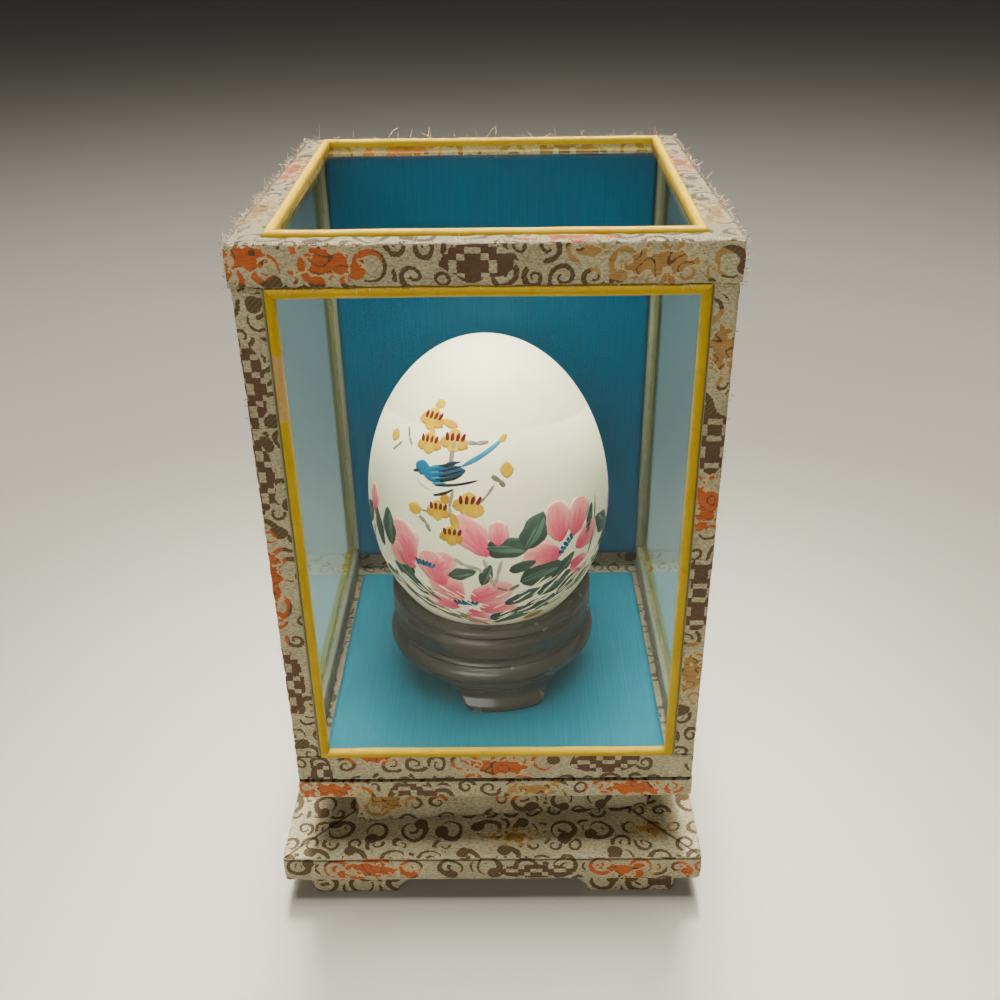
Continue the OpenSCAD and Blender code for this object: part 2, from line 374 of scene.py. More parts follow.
def brocade_material():
    """Satin ground with clouds, curls, rings, lozenge frets and flowers woven in.

    The cloth attribute holds the place on the cloth and the distance from a seam, in millimetres.
    The figure attribute says where rust flowers, golden flowers and frets lie, and its alpha
    holds a code: 0 for the bare pattern, one for plain cloth, and two that paint shade, one over the pattern
    and one over plain cloth.
    """
    s = Shader("brocade")
    cloth = s.node("Attribute", attribute_name="cloth").outputs["Vector"]
    figure = s.node("Attribute", attribute_name="figure")
    rust_at, gold_at, fret_at = s.split(figure.outputs["Vector"])
    plain_at = Value(s, figure.outputs["Alpha"])
    u_straight, v_straight, seam = s.split(cloth)
    flat = s.vector(u_straight, v_straight)
    drift = s.node("TexNoise", {"Vector": flat, "Scale": 1 / 5.5, "Detail": 0.0}).outputs["Color"]
    drift_u, drift_v = s.split(drift)[:2]
    fray = s.node("TexNoise", {"Vector": flat, "Scale": 1 / 0.35, "Detail": 1.0}).outputs["Color"]
    fray_u, fray_v = s.split(fray)[:2]
    u = u_straight + (drift_u - 0.5) * 1.5 + (fray_u - 0.5) * 0.5
    v = v_straight + (drift_v - 0.5) * 1.5 + (fray_v - 0.5) * 0.35

    # Clouds: a round head with a long tapering tail
    bend = 2.0
    radius, angle, kind, size = lattice(s, u, v, 7.0, 3.0)
    cloudy = s.below(kind, 0.78)
    tail = s.both(s.below(s.math("ABSOLUTE", radius - bend), 0.64 - angle * 0.6), s.below(angle, 0.86))
    head_squared = radius * radius + bend * bend - radius * s.math("COSINE", angle * 2 * math.pi) * (2 * bend)
    head = s.below(head_squared, 1.3 + size * 0.4)
    cloud = s.both(s.either(tail, head), cloudy)
    clear = s.either(s.above(s.math("ABSOLUTE", radius - bend), 1.15), s.above(kind, 0.78))

    # Curls and rings between the clouds
    radius, angle, kind, size = lattice(s, u, v, 4.1, 7.0)
    arm = 0.95 + size * 0.35
    spot = radius / arm - angle
    loop = s.math("ROUND", spot)
    turns = loop + angle
    swell = s.ramp(turns, 0.4, 1.4) * 0.2 + 0.18
    curl = s.both(s.below(s.math("ABSOLUTE", spot - loop) * arm, swell), within(s, turns, 0.95, 0.62))
    ring = within(s, radius, 1.0, 0.26)
    small = s.either(s.both(curl, s.below(kind, 0.62)), s.both(ring, within(s, kind, 0.72, 0.1)))
    lines = s.either(cloud, s.both(small, clear))

    # A lozenge fret with stepped sides
    fret_x = s.math("SNAP", s.math("PINGPONG", u_straight + (fray_u - 0.5) * 0.4, 4.4), 1.1)
    fret_y = s.math("SNAP", s.math("PINGPONG", v_straight + (fray_v - 0.5) * 0.3, 3.6), 0.9)
    fret = s.below(s.math("FRACT", (fret_x * 0.82 + fret_y) / 2.7 + 0.1), 0.6)

    # Where each kind of figure lies. A flower has a stitched heart with a rim, and scrolls round it.
    ragged = (s.noise(flat, 1.7, 3.0) - 0.5) * 1.6
    rust_place = rust_at + ragged
    gold_place = gold_at + ragged
    rust = s.above(rust_at, 0.35)
    gold = s.above(gold_at, 0.35)
    rust_heart = s.above(rust_place, 0.95)
    gold_heart = s.above(gold_place, 0.95)
    rim = s.either(within(s, rust_place, 0.88, 0.07), within(s, gold_place, 0.88, 0.07))
    fretted = s.above(fret_at + ragged * 0.2, 0.5)
    plain = s.above(plain_at, 0.7)
    # Faces that take painted shade
    dim = s.either(within(s, plain_at, 0.5, 0.15), s.above(plain_at, 1.2))

    # Folds between the petals of a heart
    swirl = s.noise(s.vector(u * 1.0, v * 1.25), 3.2, 0.0)
    fold = within(s, s.math("FRACT", swirl * 4.0), 0.5, 0.07)

    # Threads of the ground and of the figures
    twill = s.wave(u_straight + v_straight * 0.8, 0.62) * 0.5 + 0.5
    hatch = s.wave(u_straight - v_straight, 0.85) * 0.5 + 0.5
    stitch = s.noise(s.vector(u_straight * 0.25, v_straight * 2.4), 0.5, 2.0)
    slub = s.noise(s.vector(u_straight * 2.6, v_straight * 0.3), 0.6, 2.0)
    mottle = s.noise(flat, 6.0, 3.0)
    grain = s.noise(flat, 0.45, 3.0, 0.7)

    ground = s.mix(mottle, (0.285, 0.245, 0.14, 1), (0.459, 0.403, 0.254, 1))
    # Painted satin glints: lighter streaks in the ground colour, partly thread texture; they also raise the
    # bump
    painted_glint = s.ramp(s.noise(s.vector(u_straight * 0.9, v_straight * 2.2), 0.7, 2.0), 0.36, 0.64)
    tuft = s.ramp(grain, 0.36, 0.62)
    ground = s.shade(ground, 0.42 + twill * 0.12 + slub * 0.3 + painted_glint * 0.42 + tuft * 0.32)
    brown = s.mix(hatch * 0.45 + grain * 0.6, (0.0465, 0.0279, 0.0124, 1), (0.161, 0.108, 0.0558, 1))
    dark = s.mix(stitch * 0.6 + grain * 0.5, (0.0465, 0.0211, 0.0124, 1), (0.155, 0.0899, 0.0527, 1))
    rust_fill = s.mix(s.noise(flat, 3.0, 2.0), (0.38, 0.066, 0.011, 1), (0.46, 0.135, 0.035, 1))
    rust_fill = s.shade(rust_fill, 0.25 + stitch * 1.0 + grain * 0.5)
    gold_fill = s.mix(s.noise(flat, 3.0, 2.0), (0.223, 0.105, 0.0279, 1), (0.434, 0.273, 0.0868, 1))
    gold_fill = s.shade(gold_fill, 0.25 + stitch * 1.0 + grain * 0.5)
    cream = s.shade((0.521, 0.422, 0.223, 1), 0.6 + stitch * 0.6)

    thread = s.mix(gold, s.mix(rust, brown, rust_fill), gold_fill)
    colour = s.mix(lines, ground, thread)
    colour = s.mix(fretted, colour, s.mix(fret, ground, dark))
    colour = s.mix(rim, colour, cream)
    colour = s.mix(gold_heart, colour, s.mix(fold, gold_fill, dark))
    colour = s.mix(rust_heart, colour, s.mix(fold, rust_fill, dark))
    colour = s.mix(plain, colour, s.shade((0.26, 0.27, 0.18, 1), 0.7 + slub * 0.5))
    colour = s.shade(colour, 0.78 + s.noise(flat, 14.0, 3.0) * 0.42)
    # Painted shade: the cloth is made darker where the figure alpha holds a darkened code
    colour = s.shade(colour, 1.0 - dim * 0.6)
    seam_dark = s.ramp(s.math("ABSOLUTE", seam), 0.03, 0.4) * 0.8 + 0.2
    colour = s.shade(colour, seam_dark)

    hearts = s.either(s.either(gold_heart, rust_heart), rim)
    raised = s.either(s.either(lines, s.both(fretted, fret)), hearts)
    height = raised * 0.5 + painted_glint * 0.3 + slub * 0.2 + grain * 0.45 + seam_dark * 0.8
    rough = 0.5 + raised * 0.16 + grain * 0.12
    s.surface(colour, rough, s.bump(height, 0.17, 0.8), Sheen_Weight=0.03, Sheen_Roughness=0.4,
              Specular_IOR_Level=0.18)
    return s.material


BROCADE = brocade_material()

RUST = 0
GOLD = 1
FRET = 2


def weave(obj, offset, figures=(), seam=None, plain=None):
    """Lays the brocade over a piece: each face takes its pattern from the side that it faces."""
    mesh = obj.data
    points = read_points(mesh)
    corner_point = np.empty(len(mesh.loops), int)
    mesh.loops.foreach_get("vertex_index", corner_point)
    loop_count = np.empty(len(mesh.polygons), int)
    mesh.polygons.foreach_get("loop_total", loop_count)
    normals = np.empty(len(mesh.polygons) * 3)
    mesh.polygons.foreach_get("normal", normals)
    normals = normals.reshape(-1, 3)
    normal = np.repeat(normals, loop_count, axis=0)
    p = points[corner_point]
    axis = np.argmax(np.abs(normal), axis=1)
    u = np.where(axis == 0, p[:, 1], p[:, 0])
    v = np.where(axis == 2, p[:, 1], p[:, 2])
    weights = np.zeros((len(p), 4))
    for kind, at_u, at_v, size_u, size_v in figures:
        reach = np.hypot((u - at_u) / size_u, (v - at_v) / size_v)
        weights[:, kind] = np.maximum(weights[:, kind], np.clip(1.5 - reach, 0, 1.5))
    if plain is not None:
        weights[:, 3] = plain(p, normal)
    distance = np.full(len(p), 9.0) if seam is None else seam(p, normal)
    place = np.stack([u + offset[0], v + offset[1], distance], axis=1)
    layer = mesh.attributes.new("cloth", "FLOAT_VECTOR", "CORNER")
    layer.data.foreach_set("vector", place.ravel())
    layer = mesh.attributes.new("figure", "FLOAT_COLOR", "CORNER")
    layer.data.foreach_set("color", weights.ravel())


def wrap(node, body, voxel, offset, rough_edge=0.07, **pattern):
    """Replaces a CAD node with the same piece wrapped in brocade."""
    obj = soft_copy(node, voxel)
    obj.name = node + "_brocade"
    mesh = obj.data
    points = read_points(mesh)
    push = ripple(points, 7.0, seed=1) * 0.05 + ripple(points, 1.6, seed=2) * rough_edge
    moved = points + read_normals(mesh) * push[:, None]
    moved[:, 2] = np.maximum(moved[:, 2], 0)
    write_points(mesh, moved)
    weave(obj, offset, **pattern)
    return install(obj, body, "brocade", BROCADE, node)


def board_folds(p, normal):
    """Distance from the folds at 45 degrees on the base board's top, and from the seam on its edge."""
    half_w, half_d, top = 38.5, 40.1, 10.8
    across = ((half_w - np.abs(p[:, 0])) - (half_d - np.abs(p[:, 1]))) / math.sqrt(2)
    side = p[:, 2] - (top - 0.45)
    return np.where(normal[:, 2] > 0.7, across, side)


def post_inside(p, normal):
    """Plain cloth on the faces of a post that look into the case."""
    inward_x = normal[:, 0] * (p[:, 0] - CASE_X) < -5
    inward_y = normal[:, 1] * p[:, 1] < -5
    return np.where(inward_x | inward_y, PLAIN, 0.0)


def rail_inside_painted_shade(p, normal):
    """Painted shade on the inner faces of the bottom rails. The side rails are plain there too."""
    half_w, half_d = CASE_W / 2 - STRIP_T, CASE_D / 2 - STRIP_T
    x, y = p[:, 0] - CASE_X, p[:, 1]
    inside = (np.abs(x) < half_w) & (np.abs(y) < half_d) & (p[:, 2] > COVER_Z + 0.4)
    beside = np.abs(x) / half_w > np.abs(y) / half_d
    return np.where(inside, np.where(beside, PLAIN_PAINTED_SHADE, PAINTED_SHADE), 0.0)


def painted_shade_on_top(p, normal):
    """Painted shade: darker cloth on the faces that look up."""
    return np.where(normal[:, 2] > 0.6, PAINTED_SHADE, 0.0)


POST_FIGURES = {
    "front_left": [
        (FRET, -34, 103, 3, 7), (FRET, -34, 88, 2.6, 6), (RUST, -34, 70, 2.4, 8), (FRET, -34, 49, 3, 7),
        (FRET, -36, 96, 3, 9), (RUST, -36, 60, 3, 7), (GOLD, -36, 42, 3, 5)],
    "front_right": [
        (GOLD, 34, 108, 3, 5), (FRET, 34, 93, 3, 5), (RUST, 34, 83, 3, 5), (FRET, 34, 66, 3, 7),
        (GOLD, 34, 50, 3, 6), (FRET, -36, 80, 3, 9)],
    "back_right": [(FRET, 34, 90, 3, 8), (RUST, 34, 60, 3, 8), (GOLD, 36, 100, 3, 8)],
    "back_left": [(FRET, -33, 82, 3, 8), (GOLD, -33, 55, 3, 8), (RUST, 36, 70, 3, 8)],
}
RAIL_FIGURES = {
    "front": [
        (RUST, 1.5, 29.5, 8, 3), (FRET, 20, 30.5, 6, 2.2), (RUST, -20, 32, 5, 1.6), (FRET, -30, 28, 2, 3)],
    "right": [(GOLD, -18, 30, 7, 3), (FRET, 10, 30, 6, 3)],
    "back": [(RUST, -15, 30, 7, 3), (FRET, 14, 30, 6, 3)],
    "left": [(FRET, -16, 30, 6, 3), (RUST, 12, 30, 7, 3)],
}
LID_FIGURES = {
    "front": [
        (RUST, -31.5, 121.5, 4, 3), (RUST, -20.5, 121, 6.5, 2.6), (FRET, 0, 121, 5.2, 2.5),
        (GOLD, 25, 120.5, 9, 2.6), (GOLD, 15, 122, 3, 1.5), (RUST, 12, -35, 6, 1.6)],
    "right": [(GOLD, -22, 121, 6, 3), (FRET, 4, 121, 6, 3), (GOLD, 34, -22, 2, 6), (RUST, 34, 12, 2, 7)],
    "back": [(RUST, -16, 121, 7, 3), (FRET, 16, 121, 6, 3), (GOLD, 0, 35, 9, 2)],
    "left": [(FRET, -20, 121, 6, 3), (RUST, 8, 121, 7, 3), (GOLD, -33, -18, 2, 8), (RUST, -33, 10, 2, 8)],
}

for side, place in POST_FIGURES.items():
    wrap("corner_post_" + side, "cover", 0.28, (len(side) * 1.3, 2.0), figures=place, plain=post_inside)
for number, (side, place) in enumerate(RAIL_FIGURES.items()):
    wrap("bottom_rail_" + side, "cover", 0.3, (1.1 + number * 2.7, 0.4), figures=place,
         plain=rail_inside_painted_shade)
for number, (side, place) in enumerate(LID_FIGURES.items()):
    wrap("lid_rail_" + side, "cover", 0.3, (0.8 + number * 3.1, 2.2), 0.12, figures=place,
         plain=painted_shade_on_top)
wrap("floor_board", "base", 0.45, (2.3, 1.6), plain=painted_shade_on_top,
     figures=[(RUST, 26, 24.7, 8, 3), (RUST, -28, 24.7, 6, 3), (FRET, -14, 24.7, 4, 1.4),
              (GOLD, 8, 24.7, 5, 2)])
wrap("neck_block", "base", 0.55, (4.2, 3.3), figures=[(RUST, 0, 19, 12, 4), (GOLD, -20, 16, 5, 4)])
wrap("base_board", "base", 0.45, (0.7, 1.9), seam=board_folds,
     figures=[(RUST, -22, 8, 8, 2.8), (RUST, 24, 8, 6, 2.6), (GOLD, 4, -35, 6, 2), (GOLD, 30, -33, 4, 3),
              (FRET, 8, 7.4, 7, 1.7), (GOLD, -8, 36, 9, 2.6), (RUST, 36, 4, 2, 8)])
for number, corner in enumerate(("front_left", "front_right", "back_left", "back_right")):
    wrap("bracket_foot_" + corner, "base", 0.3, (number * 3.9, 1.2), figures=[(FRET, 32, 2.6, 3, 1.8)])
wrap("back_cover", "cover", 0.24, (2.0, 1.0), 0.03,
     figures=[(RUST, -18, 96, 7, 7), (GOLD, 14, 84, 8, 7), (FRET, -8, 68, 6, 6), (RUST, 18, 52, 8, 7),
              (GOLD, -20, 44, 7, 6), (FRET, 22, 106, 5, 5)])


# ---------- Loose threads ----------

def thread_material():
    s = Shader("loose_thread")
    tint = s.node("Attribute", attribute_name="tint").outputs["Color"]
    fuzz = s.noise(s.place(), 0.3, 2.0)
    s.surface(s.shade(tint, 0.7 + fuzz * 0.6), 0.8, s.bump(fuzz, 0.02), Sheen_Weight=0.3)
    return s.material


THREAD = thread_material()


def frayed_edge(name, start, end, outward, count, longest, seed):
    """Threads that stick out of the cloth between two points."""
    rng = random.Random(seed)
    tones = [srgb(205, 192, 160), srgb(176, 160, 124), srgb(120, 92, 66), srgb(214, 150, 96)]
    start, end, outward = Vector(start), Vector(end), Vector(outward).normalized()
    points, faces, tints = [], [], []
    sides, steps = 3, 5
    for _ in range(count):
        root = start.lerp(end, rng.random())
        root += Vector([rng.uniform(-0.25, 0.25) for _ in range(3)])
        length = longest * (0.15 + 0.85 * rng.random() ** 3)
        heading = (outward + Vector([rng.uniform(-1, 1) for _ in range(3)]) * 0.9).normalized()
        bend = Vector([rng.uniform(-1, 1) for _ in range(3)]) * 0.7
        thick = rng.uniform(0.04, 0.09)
        tone = rng.choice(tones)
        first = len(points)
        for step in range(steps + 1):
            reach = step / steps
            middle = root + (heading * reach + bend * reach * reach * 0.6) * length
            across = heading.orthogonal().normalized()
            radius = thick * (1 - 0.6 * reach)
            for k in range(sides):
                spoke = Matrix.Rotation(2 * math.pi * k / sides, 3, heading) @ across
                points.append(middle + spoke * radius)
                tints.append(tone)
        for step in range(steps):
            for k in range(sides):
                a = first + step * sides + k
                b = first + step * sides + (k + 1) % sides
                faces.append((a, b, b + sides, a + sides))
        faces.append(tuple(first + k for k in reversed(range(sides))))
        faces.append(tuple(first + steps * sides + k for k in range(sides)))
    obj = make_piece(name, [tuple(point) for point in points], faces)
    colour_points(obj, "tint", tints)
    return install(obj, "cover", "brocade", THREAD)


LID_X = CASE_W / 2 + 0.3
LID_Y = CASE_D / 2 + 0.3
LID_TOP = COVER_Z + COVER_H
LID_LOW = COVER_Z + BAND_Z
LEFT = CASE_X - LID_X
RIGHT = CASE_X + LID_X
POST_FOOT = COVER_Z + RAIL_H
POST_L = CASE_X - CASE_W / 2
POST_R = CASE_X + CASE_W / 2
POST_Y = -CASE_D / 2
for name, start, end, outward, count, longest, seed in (
        ("lid_front_top", (LEFT, -LID_Y, LID_TOP), (RIGHT, -LID_Y, LID_TOP), (0, -0.6, 0.5), 240, 1.0, 11),
        ("lid_front_low", (LEFT, -LID_Y, LID_LOW), (RIGHT, -LID_Y, LID_LOW), (0, -0.5, -0.8), 260, 0.9, 12),
        ("lid_left", (LEFT, -LID_Y, LID_TOP), (LEFT, LID_Y, LID_TOP), (-0.7, 0, 0.6), 260, 1.6, 13),
        ("lid_right", (RIGHT, -LID_Y, LID_TOP), (RIGHT, LID_Y, LID_TOP), (0.7, 0, 0.6), 200, 1.4, 14),
        ("lid_back", (LEFT, LID_Y, LID_TOP), (RIGHT, LID_Y, LID_TOP), (0, 0.2, 1.0), 60, 2.6, 15),
        ("post_left", (POST_L, POST_Y, POST_FOOT), (POST_L, POST_Y, LID_LOW), (-1, -0.3, 0), 90, 0.7, 18),
        ("post_right", (POST_R, POST_Y, POST_FOOT), (POST_R, POST_Y, LID_LOW), (1, -0.3, 0), 90, 0.7, 18),
        ("corner_right", (RIGHT, -LID_Y, LID_LOW), (RIGHT, -LID_Y, LID_TOP), (0.9, -0.4, 0), 40, 1.2, 16),
        ("corner_left", (LEFT, -LID_Y, LID_LOW), (LEFT, -LID_Y, LID_TOP), (-0.9, -0.4, 0), 30, 1.0, 17)):
    frayed_edge("threads_" + name, start, end, outward, count, longest, seed)


# ---------- Silk ----------

def silk_material(name, deep, bright, stain=None):
    """Ribbed turquoise silk. The ribs run up the case and to the back of it."""
    s = Shader(name)
    place = s.place()
    x, y, z = s.split(place)
    rib = s.wave(x, 0.8) * 0.5 + 0.5
    slub = s.noise(s.vector(x * 1.6, (y + z) * 0.12), 1.2, 1.0)
    cloud = s.noise(place, 16.0, 2.0)
    colour = s.mix(cloud * 0.5 + slub * 0.5, deep, bright)
    colour = s.shade(colour, 0.79 + rib * 0.09 + slub * 0.24)
    if stain is not None:
        reach_x = (x - stain[0]) / 0.45
        reach_z = (z - stain[2]) / 1.3
        reach = s.math("SQRT", reach_x * reach_x + reach_z * reach_z) + s.noise(place, 0.8, 1.0) * 0.8
        mark = 1.0 - s.ramp(reach, 0.9, 1.5)
        colour = s.mix(mark * 0.75, colour, srgb(96, 72, 40))
    height = rib * 0.4 + slub * 0.6
    s.surface(colour, 0.6 + slub * 0.14, s.bump(height, 0.03, 0.4), Sheen_Weight=0.03,
              Sheen_Roughness=0.35, Specular_IOR_Level=0.15)
    return s.material


PAD_SILK = silk_material("floor_silk", (0.0, 0.078, 0.115, 1), (0.001, 0.11, 0.165, 1))
LINING_SILK = silk_material("lining_silk", (0.0, 0.064, 0.13, 1), (0.001, 0.092, 0.18, 1),
                            stain=(14.6, 33.2, 93.4))


def grid_rim(lines, across):
    """The points round the edge of a grid, in order."""
    return ([i * across for i in range(lines)] + [(lines - 1) * across + j for j in range(1, across)]
            + [i * across + across - 1 for i in reversed(range(lines - 1))]
            + list(reversed(range(1, across - 1))))


def cushion(name, low, high, edge, counts, shape):
    """A soft block: a grid over the top and one under it, joined by rounded edges."""
    columns, rows = counts
    xs = np.linspace(low[0], high[0], columns)
    ys = np.linspace(low[1], high[1], rows)
    grid_x, grid_y = np.meshgrid(xs, ys, indexing="ij")
    inset = np.minimum(np.minimum(grid_x - low[0], high[0] - grid_x),
                       np.minimum(grid_y - low[1], high[1] - grid_y))
    fall = np.clip(1 - inset / edge, 0, 1)
    swell = np.sqrt(1 - fall ** 2)
    flat = np.stack([grid_x.ravel(), grid_y.ravel(), np.zeros(grid_x.size)], axis=1)
    top = low[2] + 0.25 + (high[2] - low[2] - 0.25) * swell.ravel() + shape(flat) * swell.ravel()
    upper = np.stack([grid_x.ravel(), grid_y.ravel(), top], axis=1)
    lower = np.stack([grid_x.ravel(), grid_y.ravel(), np.full(grid_x.size, low[2])], axis=1)
    points = np.concatenate([upper, lower])
    half = len(upper)
    faces = []
    for i in range(columns - 1):
        for j in range(rows - 1):
            a = i * rows + j
            faces.append((a, a + rows, a + rows + 1, a + 1))
            faces.append((half + a, half + a + 1, half + a + rows + 1, half + a + rows))
    rim = grid_rim(columns, rows)
    for a, b in zip(rim, rim[1:] + rim[:1]):
        faces.append((b, a, half + a, half + b))
    return make_piece(name, points, faces, 60)


def pad_shape(flat):
    """The pad swells a little between the stand and its own edges, with faint wrinkles."""
    away = np.hypot(flat[:, 0] - STAND_X, flat[:, 1] - STAND_Y)
    swell = 0.22 * np.clip((away - 20) / 7, 0, 1)
    return swell + ripple(flat, 9, seed=5) * 0.05 * np.clip((away - 20) / 5, 0, 1)


PAD_X = 31.3
PAD_Y = 30
PAD_LOW = 26.6
pad = cushion("silk_pad_soft", (CASE_X - PAD_X, -PAD_Y, PAD_LOW), (CASE_X + PAD_X, PAD_Y, STAND_Z),
              1.5, (126, 120), pad_shape)
install(pad, "base", "blue_silk", PAD_SILK, "silk_pad")


def lining_shape(flat):
    return ripple(flat, 22, seed=8) * 0.08


LINING_W = 64.4
LINING_T = 0.8
LINING_BACK = 34.0
LINING_LOW = COVER_Z + 3.7
LINING_HIGH = COVER_Z + 93.2
lining = cushion("back_lining_silk", (-LINING_W / 2, -LINING_HIGH, 0.0),
                 (LINING_W / 2, -LINING_LOW, LINING_T), 0.5, (110, 130), lining_shape)
lining_points = read_points(lining.data)
write_points(lining.data, np.stack([
    CASE_X + lining_points[:, 0], LINING_BACK - lining_points[:, 2], -lining_points[:, 1]], axis=1))
lining.data.flip_normals()
install(lining, "cover", "blue_silk", LINING_SILK, "back_lining")


# ---------- Yellow beads ----------

def bead_material():
    s = Shader("yellow_paper")
    place = s.place()
    x, y, z = s.split(place)
    blotch = s.noise(place, 5.0, 3.0)
    grain = s.noise(place, 0.5, 3.0, 0.7)
    colour = s.mix(blotch, (0.36, 0.22, 0.001, 1), (0.5, 0.33, 0.002, 1))
    grime = s.ramp(s.noise(place, 2.2, 4.0, 0.65), 0.54, 0.74)
    colour = s.mix(grime * 0.45, colour, (0.2, 0.1, 0.02, 1))
    bare_height = s.both(s.above(z + blotch * 2.0, 98.6), s.below(z + blotch * 3.0, 109.6))
    bare = s.both(s.both(bare_height, s.below(x, -28.0)), s.below(y, -35.0))
    colour = s.mix(s.both(bare, s.above(grain, 0.4)) * 0.8, colour, srgb(176, 140, 92))
    colour = s.shade(colour, 0.9 + grain * 0.2)
    s.surface(colour, 0.5 + grain * 0.16, s.bump(grain * 0.5 + blotch * 0.5, 0.08, 0.5),
              Specular_IOR_Level=0.2)
    return s.material


YELLOW = bead_material()


def bead_ring(name, corners, across, outward, seed):
    """Four half-round strips round a window, each cut off at 45 degrees.

    The corners run round the window with its middle on their left as seen from outside.
    """
    section = [(0.0, 0.0)] + [
        (BEAD_W / 2 - BEAD_W / 2 * math.cos(a), STRIP_T + BEAD_W / 2 * math.sin(a))
        for a in np.linspace(0, math.pi, 11)] + [(BEAD_W, 0.0)]
    gap = 0.06
    steps = 48
    points, faces = [], []
    for number in range(4):
        start = Vector(corners[number])
        end = Vector(corners[(number + 1) % 4])
        along = (end - start).normalized()
        length = (end - start).length
        inward = outward.cross(along).normalized()
        first = len(points)
        for step in range(steps + 1):
            for offset, rise in section:
                low = offset + gap
                high = length - offset - gap
                reach = low + (high - low) * step / steps
                points.append(start + along * reach + inward * offset + outward * rise)
        count = len(section)
        for step in range(steps):
            for k in range(count):
                a = first + step * count + k
                b = first + step * count + (k + 1) % count
                faces.append((a, a + count, b + count, b))
        faces.append(tuple(first + k for k in range(count)))
        faces.append(tuple(first + steps * count + k for k in reversed(range(count))))
    array = np.array([tuple(point) for point in points])
    out = np.array(tuple(outward))
    lift = ripple(array, 6, seed) * 0.05
    sway = ripple(array, 9, seed + 1) * 0.05
    array += out * lift[:, None] + np.array(tuple(across)) * sway[:, None]
    obj = make_piece(name + "_paper", array, faces, 50)
    return install(obj, "cover", "yellow_bead", YELLOW, name)


def window(side):
    """The corners of a pane's window on the outside of the posts, and the way out of it."""
    half_w = CASE_W / 2
    half_d = CASE_D / 2
    low, high = COVER_Z + RAIL_H, COVER_Z + BAND_Z
    if side == "front":
        left, right, y = -half_w + POST_LEFT, half_w - POST_RIGHT, -half_d + STRIP_T
        ring = [(left, y, low), (right, y, low), (right, y, high), (left, y, high)]
        out = Vector((0, -1, 0))
    elif side == "right":
        x, y = half_w - STRIP_T, half_d - POST_FACE
        ring = [(x, -y, low), (x, y, low), (x, y, high), (x, -y, high)]
        out = Vector((1, 0, 0))
    else:
        x, y = -half_w + STRIP_T, half_d - POST_FACE
        ring = [(x, y, low), (x, -y, low), (x, -y, high), (x, y, high)]
        out = Vector((-1, 0, 0))
    return [(CASE_X + x, y, z) for x, y, z in ring], out


for number, side in enumerate(("front", "right", "left")):
    ring, out = window(side)
    bead_ring("bead_" + side, ring, Vector((0, 0, 1)), out, 20 + number)
top = COVER_Z + COVER_H - STRIP_T
TOP_FRONT = 30.7
TOP_BACK = 32.2
TOP_REACH = 33.2
top_ring = [(CASE_X + x, y, top) for x, y in (
    (-TOP_FRONT, -TOP_REACH), (TOP_FRONT, -TOP_REACH), (TOP_BACK, TOP_REACH), (-TOP_BACK, TOP_REACH))]
bead_ring("bead_top", top_ring, Vector((0, 1, 0)), Vector((0, 0, 1)), 24)


# ---------- Glass and plain hidden parts ----------

def glass_material(name, bend, thin, thick):
    """Thin window glass, with faint smears. Shadow rays pass straight through."""
    s = Shader(name)
    smear = s.noise(s.place(), 14.0, 4.0, 0.6)
    glass = s.node("BsdfPrincipled", {
        "Base Color": s.mix(smear, thick, thin), "Roughness": 0.0, "IOR": bend, "Transmission Weight": 1.0})
    clear = s.node("BsdfTransparent", {"Color": (0.93, 0.96, 0.95, 1)})
    shadow = s.node("LightPath").outputs["Is Shadow Ray"]
    mixed = s.node("MixShader", {0: shadow, 1: glass.outputs[0], 2: clear.outputs[0]})
    s.feed(s.output.inputs["Surface"], mixed.outputs[0])
    return s.material


def paper_material(name, light, dark, size):
    s = Shader(name)
    place = s.place()
    fibre = s.noise(place, size, 4.0, 0.7)
    blotch = s.noise(place, 12.0, 3.0)
    colour = s.mix(blotch, light, dark)
    s.surface(s.shade(colour, 0.8 + fibre * 0.4), 0.85, s.bump(fibre, 0.05, 0.5))
    return s.material


WINDOW = glass_material("window_glass", 1.26, (0.97, 0.985, 0.98, 1), (0.93, 0.965, 0.955, 1))
# Painted shade: the side glass is tinted dark blue-green, so that the bright floor seen through it looks dim
# and blue
SHADED_SIDE_WINDOW = glass_material("side_glass_painted_shade", 1.5, (0.48, 0.66, 0.69, 1), (0.42, 0.61, 0.65, 1))
finish_node("pane_front", WINDOW)
finish_node("pane_top", WINDOW)
finish_node("pane_right", SHADED_SIDE_WINDOW)
finish_node("pane_left", SHADED_SIDE_WINDOW)
finish_node("back_board", paper_material("grey_card", srgb(150, 140, 112), srgb(120, 110, 86), 0.5))
finish_node("base_lining", paper_material("lining_paper", srgb(214, 196, 150), srgb(186, 166, 120), 0.7))
finish_node("egg_hole_seal", paper_material("seal_paper", srgb(240, 232, 210), srgb(220, 206, 176), 0.4))


# ---------- Stand ----------

def lacquer_material():
    s = Shader("dark_lacquer")
    place = s.place()
    x, y, z = s.split(place)
    figure = s.noise(s.vector(x * 0.3, y * 0.3, z * 1.2), 3.0, 2.0, 0.5)
    wipe = s.noise(place, 7.0, 1.0)
    scuff = s.ramp(s.noise(place, 3.0, 2.0, 0.5), 0.66, 0.8)
    colour = s.mix(figure, (0.018, 0.016, 0.013, 1), (0.042, 0.034, 0.027, 1))
    colour = s.mix(scuff * 0.15, colour, (0.05, 0.038, 0.03, 1))
    s.surface(colour, 0.2 + wipe * 0.1 + scuff * 0.1, s.bump(wipe, 0.05, 0.2), Specular_IOR_Level=0.6)
    return s.material


LACQUER = lacquer_material()


def egg_radius_at(height):
    """Radius of the egg at a height above the stand's foot, below its widest place."""
    return EGG_R * math.sqrt(1 - ((EGG_MID - height) / EGG_DOWN) ** 2)


